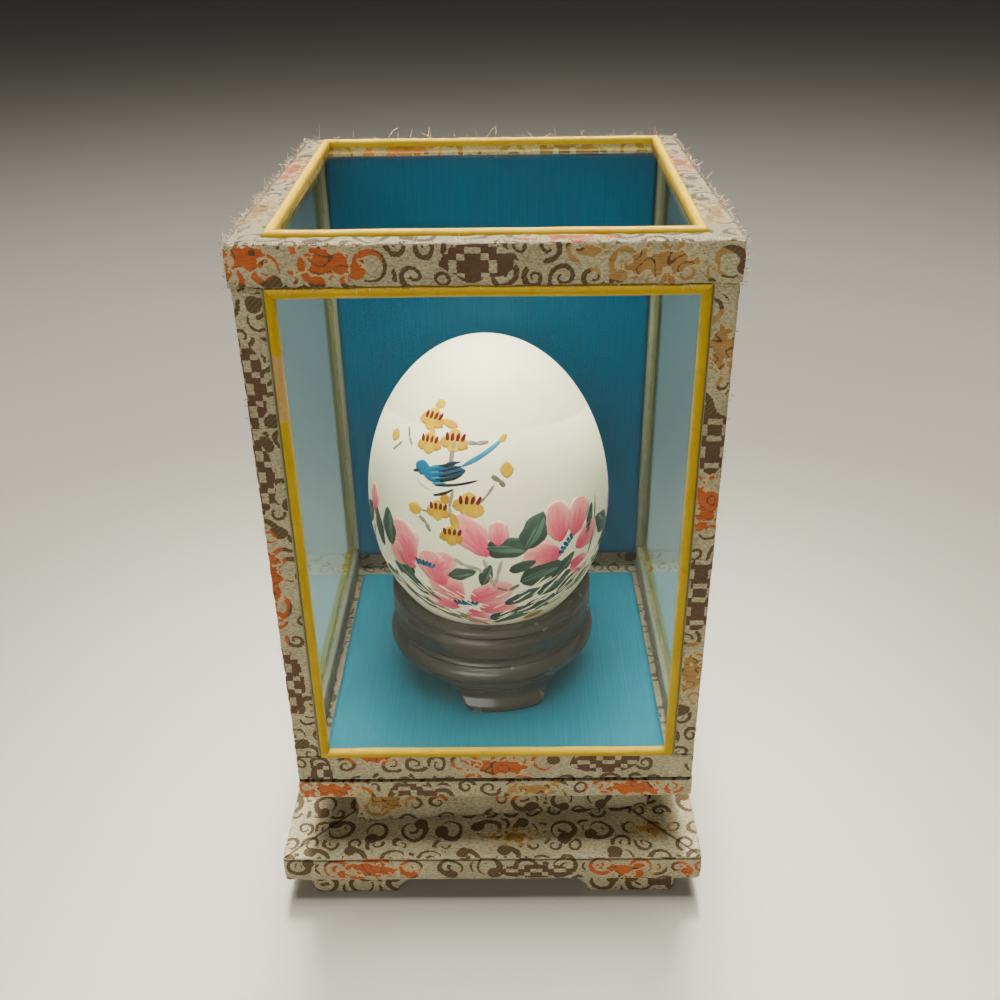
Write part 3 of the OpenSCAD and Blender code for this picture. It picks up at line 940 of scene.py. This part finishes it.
def stand_outline():
    seat_gap = 0.15
    seat_low = EGG_MID - EGG_DOWN * math.sqrt(1 - ((WELL_R - seat_gap) / EGG_R) ** 2)
    seat = [(egg_radius_at(z) + seat_gap, z) for z in np.linspace(seat_low, STAND_H - 0.25, 12)]
    r = RING_R
    outside = [(r - 2.1, STAND_H)]
    outside += arc(r - 1.75, STAND_H - 1.05, 1.05, 80, -62, 14)
    outside += [(r - 1.15, 16.75), (r - 0.95, 16.35), (r - 0.75, 16.0)]
    outside += [(r - 0.72, 15.4), (r - 0.8, 14.4), (r - 0.78, 13.4), (r - 0.85, 12.9), (r - 1.15, 12.3)]
    outside += [(r - 1.42, 12.0), (r - 1.55, 11.6), (r - 1.42, 11.25), (r - 1.15, 10.95)]
    outside += arc(r - 2.4, 8.4, 2.4, 62, -75, 22)
    outside += [(r - 2.5, 6.0), (WELL_R, 6.0)]
    return seat + outside


cup = lathe("stand_cup_turned", stand_outline(), (STAND_X, STAND_Y, STAND_Z))
install(cup, "base", "lacquer", LACQUER, "stand_cup")


def carve_foot(node, degrees):
    """Rounds a foot off and cuts a line in below its top edge."""
    obj = soft_copy(node, 0.22, 4)
    obj.name = node + "_carved"
    mesh = obj.data
    points = read_points(mesh)
    turn = math.radians(degrees)
    out = (points[:, 0] - STAND_X) * math.cos(turn) + (points[:, 1] - STAND_Y) * math.sin(turn)
    height = points[:, 2] - STAND_Z
    outer = np.clip((out - 14.5) / 2, 0, 1)
    edge = np.exp(-((height - 4.9) / 0.3) ** 2)
    push = -0.22 * outer * edge + 0.04 * ripple(points, 3, 9)
    write_points(mesh, points + read_normals(mesh) * push[:, None])
    return install(obj, "base", "lacquer", LACQUER, node)


FOOT_ANGLES = {"stand_foot_front": -81.5, "stand_foot_left": 158.5, "stand_foot_right": 38.5}
for node, degrees in FOOT_ANGLES.items():
    carve_foot(node, degrees)


# ---------- Egg ----------

EGG_CENTRE = Vector((STAND_X, STAND_Y, STAND_Z + EGG_MID))
EGG_PLACE = (Matrix.Translation(EGG_CENTRE + Vector((0, 0, LEAN_PIVOT)))
             @ Matrix.Rotation(math.radians(-EGG_LEAN), 4, "Y")
             @ Matrix.Translation(Vector((0, 0, -LEAN_PIVOT))))


def shell_material():
    s = Shader("eggshell")
    place = s.place()
    pores = s.noise(place, 0.35, 3.0, 0.6)
    bloom = s.noise(place, 9.0, 3.0)
    colour = s.mix(bloom, (0.80, 0.74, 0.5, 1), (0.86, 0.80, 0.56, 1))
    speck = s.ramp(s.noise(place, 1.1, 4.0, 0.7), 0.68, 0.8)
    colour = s.mix(speck * 0.12, colour, srgb(200, 180, 140))
    s.surface(colour, 0.4 + pores * 0.14, s.bump(pores, 0.03, 0.4), Specular_IOR_Level=0.4)
    return s.material


def egg_outline(radius, up, down):
    start = -math.acos(HOLE_R / radius)
    angles = np.concatenate([[start], np.radians(np.arange(-84, 89, 2.0))])
    return [(radius * math.cos(a), (up if a > 0 else down) * math.sin(a)) for a in angles]


outer = egg_outline(EGG_R, EGG_UP, EGG_DOWN) + [(0.004, EGG_UP)]
inner = egg_outline(EGG_R - SHELL_T, EGG_UP - SHELL_T, EGG_DOWN - SHELL_T) + [(0.004, EGG_UP - SHELL_T)]
shell = lathe("egg_shell_blown", outer + inner[::-1], (0, 0, 0), 180)
shell_points = np.array([tuple(EGG_PLACE @ Vector(p)) for p in read_points(shell.data)])
write_points(shell.data, shell_points)
install(shell, "egg", "eggshell", shell_material(), "egg_shell")


# ---------- Painting on the egg ----------

PINK = (0.64, 0.03, 0.11, 1)
PINK_PALE = (0.82, 0.27, 0.24, 1)
LEAF_DARK = (0.018, 0.036, 0.026, 1)
LEAF = (0.045, 0.085, 0.06, 1)
LEAF_PALE = (0.1, 0.18, 0.12, 1)
YELLOW_PAINT = (0.52, 0.31, 0.0, 1)
YELLOW_DEEP = (0.42, 0.2, 0.0, 1)
RED = (0.1, 0.003, 0.008, 1)
BLUE = (0.003, 0.1, 0.21, 1)
BLUE_DEEP = (0.002, 0.035, 0.08, 1)
TURQUOISE = (0.01, 0.22, 0.3, 1)
BLACK = (0.010, 0.011, 0.009, 1)
GREY = (0.25, 0.22, 0.16, 1)
GREY_BROWN = (0.14, 0.12, 0.075, 1)
OCHRE = (0.3, 0.2, 0.04, 1)
WHITE = (0.86, 0.8, 0.58, 1)


def paint_material():
    """Brushed paint: streaks run along each stroke."""
    s = Shader("egg_paint")
    paint = s.node("Attribute", attribute_name="paint").outputs["Color"]
    along, across, seed = s.split(s.node("Attribute", attribute_name="brush").outputs["Vector"])
    streak = s.noise(s.vector(along * 0.25, across * 4.0, seed), 1.0, 3.0, 0.6)
    pool = s.noise(s.place(), 0.8, 2.0)
    colour = s.shade(paint, 0.5 + streak * 0.7 + pool * 0.25)
    s.surface(colour, 0.5 + streak * 0.1, s.bump(streak, 0.03, 0.5), Specular_IOR_Level=0.12)
    return s.material


PAINT = paint_material()


def on_egg(degrees, height, lift):
    """A point over the shell, from the direction seen from above and the height over the widest place."""
    reach = EGG_UP if height > 0 else EGG_DOWN
    height = max(-0.985, min(0.985, height / reach)) * reach
    radius = EGG_R * math.sqrt(1 - (height / reach) ** 2)
    turn = math.radians(degrees)
    point = Vector((radius * math.sin(turn), -radius * math.cos(turn), height))
    normal = Vector((point.x / EGG_R ** 2, point.y / EGG_R ** 2, height / reach ** 2)).normalized()
    return EGG_PLACE @ (point + normal * lift)


def meridian_slope(height):
    """How much a step up along the shell raises the height, and the shell's radius there."""
    reach = EGG_UP if height > 0 else EGG_DOWN
    radius = EGG_R * math.sqrt(max(0.02, 1 - (height / reach) ** 2))
    out = radius / EGG_R ** 2
    up = height / reach ** 2
    return out / math.hypot(out, up), radius


def blend(first, second, amount):
    return tuple(a + (b - a) * amount for a, b in zip(first, second))


class Brush:
    """Collects the strokes of one colour into one piece, as thin closed patches on the shell."""

    def __init__(self):
        self.points = []
        self.faces = []
        self.paints = []
        self.brushes = []
        self.layer = 0
        self.random = random.Random(4)

    def stroke(self, degrees, height, length, width, turn, first, last, shape="oval", bend=0.0,
               fade=None, lift=0.02):
        """A stroke from a point, turned clockwise from straight up. Widths are full widths."""
        self.layer += 1
        rows = max(6, int(length / 0.5))
        columns = 7 if width > 1.2 else 5
        heading = math.radians(turn)
        slope, radius = meridian_slope(height)
        seed = self.random.uniform(0, 50)
        lift += (self.layer % 12) * 0.0015
        first_point = len(self.points)
        for level in (lift, -0.06):
            for i in range(rows + 1):
                reach = i / rows
                half = width / 2 * self.profile(shape, reach)
                half *= 1 + 0.09 * math.sin(reach * 11 + seed)
                lean = bend * (reach - reach * reach) * 4
                for j in range(columns):
                    side = 2 * j / (columns - 1) - 1
                    ahead = reach * length
                    across = half * side + lean
                    right = ahead * math.sin(heading) + across * math.cos(heading)
                    up = ahead * math.cos(heading) - across * math.sin(heading)
                    spot_degrees = degrees + math.degrees(right / radius)
                    spot_height = height + up * slope
                    edge = level if level < 0 or (0 < j < columns - 1 and 0 < i < rows) else level * 0.3
                    self.points.append(tuple(on_egg(spot_degrees, spot_height, edge)))
                    tone = blend(first, last, min(1.0, reach * 1.05))
                    if fade is not None:
                        tone = blend(tone, fade, abs(side) ** 3.0 * 0.7 * reach)
                    self.paints.append(tone)
                    self.brushes.append((ahead, across, seed))
        count = (rows + 1) * columns
        for i in range(rows):
            for j in range(columns - 1):
                a = first_point + i * columns + j
                self.faces.append((a, a + 1, a + columns + 1, a + columns))
                b = a + count
                self.faces.append((b, b + columns, b + columns + 1, b + 1))
        rim = grid_rim(rows + 1, columns)
        for a, b in zip(rim, rim[1:] + rim[:1]):
            a, b = first_point + a, first_point + b
            self.faces.append((a, b, b + count, a + count))

    @staticmethod
    def profile(shape, reach):
        """The width of a stroke along its length, from 0 to 1."""
        if shape == "leaf":
            return max(0.03, math.sin(math.pi * reach ** 0.85) ** 0.65)
        if shape == "line":
            return 0.35 + 0.65 * math.sin(math.pi * min(1, reach * 0.9 + 0.1)) ** 0.6
        if shape == "petal":
            return max(0.04, math.sqrt(max(0.0, 1 - (1 - 2 * reach ** 1.35) ** 2)))
        return max(0.04, math.sqrt(max(0.0, 1 - (1 - 2 * reach) ** 2)))

    def spot(self, degrees, height, size, colour, squash=1.0, turn=0):
        """A round dab about a point."""
        slope, radius = meridian_slope(height)
        heading = math.radians(turn)
        back = size / 2
        start_degrees = degrees - math.degrees(back * math.sin(heading) / radius)
        start_height = height - back * math.cos(heading) * slope
        self.stroke(start_degrees, start_height, size, size * squash, turn, colour, colour)

    def build(self, name):
        obj = make_piece(name, self.points, self.faces)
        colour_points(obj, "paint", self.paints)
        layer = obj.data.attributes.new("brush", "FLOAT_VECTOR", "POINT")
        layer.data.foreach_set("vector", np.asarray(self.brushes, float).ravel())
        return install(obj, "egg", "eggshell", PAINT)


petals = Brush()
leaves = Brush()
blossoms = Brush()
stamens = Brush()
twigs = Brush()
bird = Brush()
whites = Brush()


PETAL_SIZE = 1.28
LEAF_LENGTH = 1.15
LEAF_WIDTH = LEAF_LENGTH * 1.12


def peony_petal(degrees, height, length, width, turn, deep=PINK):
    """A petal painted deep at its root and pale at its tip."""
    length *= PETAL_SIZE
    width *= PETAL_SIZE
    petals.stroke(degrees, height, length, width, turn, deep, PINK_PALE, "petal", fade=WHITE)
    for side in (-1, 0, 1):
        petals.stroke(degrees, height, length * (0.72 - 0.1 * abs(side)), width * 0.2, turn + side * 17,
                      deep, blend(PINK_PALE, deep, 0.55), "line", lift=0.035)


def peony(degrees, height, directions, length, width):
    for number, turn in enumerate(directions):
        stretch = 1 + 0.12 * math.sin(number * 2.3)
        peony_petal(degrees, height, length * stretch, width, turn)


def peony_heart(degrees, height, turn, count=5, size=2.4):
    """Short blue strokes at the middle of a peony."""
    slope, radius = meridian_slope(height)
    for i in range(count):
        place = i - (count - 1) / 2
        step = place * size / count
        spot = degrees + math.degrees(step * math.cos(math.radians(turn)) / radius)
        rise = height - step * math.sin(math.radians(turn)) * slope
        tone = BLUE if i % 2 == 0 else TURQUOISE
        stamens.stroke(spot, rise, 1.5, 0.75, turn + place * 12, tone, BLUE_DEEP, "line", lift=0.06)


def leaf(degrees, height, length, width, turn, bend=0.0, tone=LEAF):
    length *= LEAF_LENGTH
    width *= LEAF_WIDTH
    leaves.stroke(degrees, height, length, width, turn, LEAF_DARK, tone, "leaf", bend)
    leaves.stroke(degrees, height, length * 0.9, width * 0.35, turn + 5, tone, LEAF_PALE, "leaf", bend,
                  lift=0.035)
    leaves.stroke(degrees, height, length * 0.96, 0.28, turn, LEAF_DARK, LEAF_DARK, "line", bend, lift=0.05)


def plum(degrees, height, size, turn=0, count=4):
    """A small yellow blossom with dark red stamens."""
    for side in (-1, 0, 1):
        blossoms.stroke(degrees + side * 0.5, height, size * (0.95 if side else 0.85), size * 0.72,
                        turn + 180 + side * 62, YELLOW_PAINT, YELLOW_DEEP if side else YELLOW_PAINT)
    blossoms.spot(degrees, height + size * 0.12, size * 0.8, YELLOW_PAINT)
    radius = meridian_slope(height)[1]
    for i in range(count):
        place = i - (count - 1) / 2
        stamens.stroke(degrees + math.degrees(place * size * 0.27 / radius), height - size * 0.12,
                       size * 0.46, 0.68, turn + place * 10, RED, RED, "line", lift=0.07)


def twig(points, width=0.4, tone=GREY):
    """A line of short strokes through points on the shell."""
    for (a_degrees, a_height), (b_degrees, b_height) in zip(points, points[1:]):
        slope, radius = meridian_slope((a_height + b_height) / 2)
        right = math.radians(b_degrees - a_degrees) * radius
        up = (b_height - a_height) / slope
        twigs.stroke(a_degrees, a_height, math.hypot(right, up) * 1.08, width,
                     math.degrees(math.atan2(right, up)), tone, blend(tone, GREY_BROWN, 0.6), "line")


def paint_blossom_branch():
    for row in (
            ([(-47, 20), (-44, 18.6), (-41, 17.6)], 0.5), ([(-54, 15.6), (-51, 16.6), (-48.5, 17.4)], 0.5),
            ([(-16.5, 15.4), (-15.8, 18.2), (-14.8, 19.6)], 0.9),
            ([(-8, 19.4), (-3, 19.2), (3, 19.4)], 0.8),
            ([(4, 14.2), (7.8, 13.3), (9.6, 12.4)], 0.9, GREY_BROWN),
            ([(-3, 9.6), (0.8, 10.9), (4.6, 12.6)], 0.5), ([(-31, 6.4), (-27.5, 5.5), (-25.5, 4.0)], 0.8),
            ([(-31, 7.6), (-24, 7.6)], 0.4), ([(-14.5, 11.8), (-16, 9.0), (-14.5, 5.5)], 0.6)):
        twig(*row)
    blossoms.stroke(-30.5, 21.0, 2.6, 1.3, 165, YELLOW_PAINT, YELLOW_DEEP, "oval")
    blossoms.spot(-29.2, 24.2, 1.8, YELLOW_PAINT, 1.1)
    blossoms.stroke(-25, 22.2, 3.2, 1.5, 108, YELLOW_PAINT, YELLOW_DEEP, "oval")
    plum(-31.7, 22.4, 3.0, 8)
    plum(-30.0, 19.0, 2.9, -4)
    plum(-15.3, 19.8, 3.1, 6)
    blossoms.spot(-55.5, 17.9, 2.3, YELLOW_PAINT, 1.0)
    blossoms.stroke(9.2, 19.2, 1.9, 1.0, 50, YELLOW_PAINT, YELLOW_DEEP, "oval")
    blossoms.stroke(11.3, 13.6, 2.9, 2.3, 3, YELLOW_PAINT, YELLOW_DEEP, "oval")
    blossoms.spot(-18.2, 10.2, 2.0, YELLOW_DEEP, 0.9)
    plum(-21.5, 8.5, 2.8, 2)
    plum(-7.0, 10.0, 3.4, 12)
    blossoms.spot(-5.0, 8.4, 2.6, YELLOW_PAINT, 1.4)
    blossoms.spot(-33.6, 7.5, 2.3, YELLOW_PAINT, 1.2)
    blossoms.stroke(-15.0, 8.0, 3.4, 1.7, 160, YELLOW_DEEP, YELLOW_PAINT, "oval")
    plum(-15.0, 4.2, 2.9, 4)


def paint_bird():
    bird.stroke(-11.5, 15.6, 9.6, 0.9, 60, BLUE, TURQUOISE, "leaf", 0.15)
    bird.stroke(-30.6, 13.7, 8.0, 3.1, 79, BLUE, BLUE_DEEP, "leaf", 0.1, lift=0.035)
    bird.spot(-31.6, 14.7, 2.7, BLUE, 1.05)
    bird.stroke(-36.8, 13.8, 1.5, 0.6, 75, BLACK, BLACK, "leaf", lift=0.05)
    for place in range(4):
        bird.stroke(-27.5 + place * 0.8, 15.0 - place * 0.85, 2.6, 0.4, 80, TURQUOISE, BLUE, "line",
                    lift=0.07)
        bird.stroke(-23.5 + place * 0.7, 15.3 - place * 0.8, 4.4, 0.5, 74 - place * 2, BLACK, BLACK, "line",
                    lift=0.075)
    bird.stroke(-20.5, 15.4, 3.0, 0.9, 68, BLACK, BLUE_DEEP, "leaf", lift=0.08)
    bird.stroke(-23.8, 12.3, 7.8, 0.5, 80, BLACK, BLACK, "line", 0.2, lift=0.05)
    bird.stroke(-24.0, 13.1, 4.4, 0.4, 76, BLACK, BLACK, "line", lift=0.06)
    bird.stroke(-24.0, 10.6, 3.9, 0.55, 68, BLACK, BLACK, "line", 0.2, lift=0.05)
    twigs.stroke(-34.0, 13.0, 3.6, 0.6, 118, blend(GREY, WHITE, 0.5), blend(GREY, WHITE, 0.6), "line", 0.4)


def paint_front_garland():
    # The left peony
    leaf(-49.5, -2.0, 6.6, 3.2, -6)
    leaf(-58.0, -3.6, 6.8, 2.4, -12)
    for row in (
            (-36.0, -3.4, 6.6, 5.4, -22), (-35.5, -4.6, 5.2, 4.6, -62), (-21.5, -7.4, 6.4, 5.0, -18),
            (-27.0, -4.4, 4.8, 4.6, 48)):
        peony_petal(*row)
    peony_heart(-29.4, -3.6, 5, 6, 3.0)
    # The middle petals and their leaves
    peony_petal(0.5, 0.0, 7.2, 4.4, -33)
    peony_petal(5.2, 1.8, 3.8, 3.0, 2)
    for row in (
            (-1.0, 1.6, 7.0, 3.4, 97, -0.3), (17.0, 0.6, 6.4, 4.2, 32, 0.2), (-18.5, -4.6, 4.8, 2.0, 74),
            (9.5, -3.4, 4.6, 1.9, 78)):
        leaf(*row)
    # The lower peony
    for row in (
            (-13.0, -10.4, 5.6, 5.2, -40), (-9.0, -10.2, 6.4, 4.6, 62), (-16.0, -12.6, 5.0, 4.0, -76),
            (-10.0, -13.0, 4.4, 4.2, 158), (-5.0, -12.6, 5.4, 4.2, 84)):
        peony_petal(*row)
    peony_heart(-11.8, -11.8, 0, 6, 3.4)
    # Leaves round the lower peony
    for row in (
            (-33.0, -9.6, 6.8, 3.0, -56), (-24.0, -11.6, 6.0, 2.6, -60), (14.5, -6.2, 7.4, 4.0, 78, -0.3),
            (7.0, -11.6, 6.4, 2.4, 66), (-1.0, -16.0, 7.4, 3.6, 72), (31.0, -7.6, 5.6, 2.2, 46),
            (24.0, -10.6, 6.6, 3.0, 62), (17.0, -14.0, 5.8, 2.4, 70), (-38.0, -7.0, 5.6, 2.6, -30),
            (-3.0, -6.4, 4.4, 1.8, 20)):
        leaf(*row)
    # The right peony
    for row in (
            (35.0, 0.2, 6.2, 5.0, -6), (42.0, 0.2, 5.8, 4.4, 26), (35.0, -2.4, 6.0, 5.2, -82),
            (44.0, -2.6, 5.2, 4.4, 66), (42.0, -5.4, 5.0, 4.2, 128)):
        peony_petal(*row)
    peony_heart(39.0, -1.4, -44, 5, 3.4)
    leaf(51.0, -1.6, 5.6, 1.6, 20)
    leaf(36.0, -12.0, 6.0, 2.0, 52)


def paint_branches():
    tone = blend(GREY, WHITE, 0.25)
    for row in (
            ([(-15.0, -0.6), (-10.5, -1.8), (-4.0, -2.6), (0.4, -4.4), (3.6, -7.4)], 0.8, tone),
            ([(-1.5, -0.6), (0.0, -2.6), (1.6, -5.0)], 0.7, tone),
            ([(6.4, -1.0), (4.4, -4.0), (3.2, -6.4)], 0.7, tone),
            ([(3.4, -7.0), (9.0, -8.0), (14.0, -7.0)], 0.9, GREY_BROWN),
            ([(54.5, -6.0), (57.0, -1.0), (60.0, 4.6)], 0.6, GREY_BROWN)):
        twig(*row)


def paint_grass():
    """Fine strokes round the lower edge of the painted band."""
    rng = random.Random(21)
    for i in range(90):
        spot = -75 + i * 1.74 + rng.uniform(-1.5, 1.5)
        height = -17.5 + 0.11 * abs(spot) + rng.uniform(-1.2, 1.2)
        tone = rng.choice([LEAF_DARK, LEAF, LEAF, GREY_BROWN, OCHRE])
        leaves.stroke(spot, height, rng.uniform(2.4, 4.8), rng.uniform(0.35, 0.8),
                      (62 if spot > 0 else -62) + rng.uniform(-16, 16), tone,
                      blend(tone, LEAF_PALE, 0.3), "line")
    for i in range(110):
        spot = -64 + i * 1.2 + rng.uniform(-2, 2)
        height = rng.uniform(-17.5, -9.5) + 0.07 * abs(spot)
        whites.stroke(spot, height, rng.uniform(1.6, 3.8), 0.24,
                      (58 if spot > 0 else -58) + rng.uniform(-16, 16), WHITE, WHITE, "line", lift=0.085)
    leaves.spot(25.7, -17.0, 4.0, OCHRE, 0.5, 75)


def paint_sides():
    """The garland goes on round the sides and thins out at the back."""
    for spot in (-96, 92, 138, -142):
        peony(spot, -3.0, (-58, -8, 44, 96, 150), 5.6, 4.8)
        peony_heart(spot, -3.2, 10, 6, 3.2)
        leaf(spot - 18, -4.0, 6.6, 3.2, -50)
        leaf(spot + 17, -2.0, 6.6, 3.0, 40)
        leaf(spot + 12, -9.0, 6.4, 2.8, 84)
        leaf(spot - 12, -10.0, 6.4, 2.8, -80)
    for spot in (-168, -120, 115, 160, 68, -72):
        leaf(spot, -8.0, 6.0, 2.6, 30 if spot > 0 else -30)
        leaf(spot + 6, -11.0, 5.6, 2.4, 60)
        twig([(spot - 6, -9.0), (spot, -5.0), (spot + 5, -1.0)], 0.6, GREY_BROWN)
    peony_petal(-63.6, 1.6, 5.0, 3.2, -10)


paint_branches()
paint_sides()
paint_grass()
paint_front_garland()
paint_blossom_branch()
paint_bird()
petals.build("paint_petals")
leaves.build("paint_leaves")
blossoms.build("paint_blossoms")
stamens.build("paint_stamens")
twigs.build("paint_twigs")
bird.build("paint_bird")
whites.build("paint_white_lines")


# ---------- Floor, light and camera ----------

def floor_material():
    s = Shader("pale_floor")
    place = s.place()
    cloud = s.noise(place, 120.0, 3.0)
    grain = s.noise(place, 1.2, 3.0)
    colour = s.mix(cloud, srgb(163, 160, 150), srgb(172, 169, 160))
    s.surface(s.shade(colour, 0.97 + grain * 0.05), 0.5 + grain * 0.1, s.bump(grain, 0.02, 0.3))
    return s.material


FLOOR = 3000
floor = make_piece("floor", [(-FLOOR, -FLOOR, 0), (FLOOR, -FLOOR, 0), (FLOOR, FLOOR, 0), (-FLOOR, FLOOR, 0)],
                   [(0, 1, 2, 3)])
floor.data.materials.append(floor_material())


def area_light(name, place, target, size, power, colour, spread):
    data = bpy.data.lights.new(name, "AREA")
    data.shape = "RECTANGLE"
    data.size = size[0]
    data.size_y = size[1]
    data.energy = power
    data.color = colour
    data.spread = math.radians(spread)
    light = bpy.data.objects.new(name, data)
    bpy.context.collection.objects.link(light)
    light.location = place
    light.rotation_mode = "QUATERNION"
    light.rotation_quaternion = (Vector(target) - Vector(place)).to_track_quat("-Z", "Y")
    return light


area_light("ceiling_light", (0.0, 0.05, 0.65), (0, 0, 0.07), (0.45, 0.35), 9.5, (1.0, 0.96, 0.86), 180)
area_light("front_light", (-0.35, -1.0, 0.55), (0, 0, 0.06), (0.7, 0.5), 4.8, (1.0, 0.97, 0.88), 180)
area_light("egg_light", (0.0, 0.2, 0.5), (0, 0.004, 0.09), (0.2, 0.2), 0.5, (1.0, 0.96, 0.82), 24)


def make_world():
    """Soft room light: brighter in front, dim behind."""
    world = bpy.data.worlds.new("studio")
    bpy.context.scene.world = world
    world.use_nodes = True
    tree = world.node_tree
    background = tree.nodes["Background"]
    place = tree.nodes.new("ShaderNodeTexCoord")
    split = tree.nodes.new("ShaderNodeSeparateXYZ")
    spread = tree.nodes.new("ShaderNodeMapRange")
    spread.inputs["From Min"].default_value = -0.4
    spread.inputs["From Max"].default_value = 0.75
    spread.inputs["To Min"].default_value = 0.09
    spread.inputs["To Max"].default_value = 0.03
    tree.links.new(place.outputs["Generated"], split.inputs[0])
    tree.links.new(split.outputs["Y"], spread.inputs["Value"])
    tree.links.new(spread.outputs["Result"], background.inputs["Strength"])
    background.inputs["Color"].default_value = (0.97, 0.98, 1.0, 1.0)


make_world()


CAMERA_PITCH, CAMERA_YAW, CAMERA_ROLL = 29.144, -0.673, -0.855
CAMERA_PLACE = (4.09, -178.96, 163.17)
CAMERA_LENS = 38.52


def camera():
    """The camera stands in front of the case and looks down on it."""
    pitch, yaw, roll = (math.radians(angle) for angle in (CAMERA_PITCH, CAMERA_YAW, CAMERA_ROLL))
    ahead = Vector((math.sin(yaw) * math.cos(pitch), math.cos(yaw) * math.cos(pitch), -math.sin(pitch)))
    right = Vector((math.cos(yaw), -math.sin(yaw), 0))
    up = right.cross(ahead)
    turned_right = right * math.cos(roll) + up * math.sin(roll)
    turned_up = up * math.cos(roll) - right * math.sin(roll)
    data = bpy.data.cameras.new("camera")
    data.sensor_width = 36.0
    data.lens = CAMERA_LENS
    data.clip_start = 0.01
    data.clip_end = 20
    obj = bpy.data.objects.new("camera", data)
    bpy.context.collection.objects.link(obj)
    turn = Matrix((turned_right, turned_up, -ahead)).transposed()
    obj.matrix_world = Matrix.Translation(Vector(CAMERA_PLACE) * MM) @ turn.to_4x4()
    bpy.context.scene.camera = obj


camera()
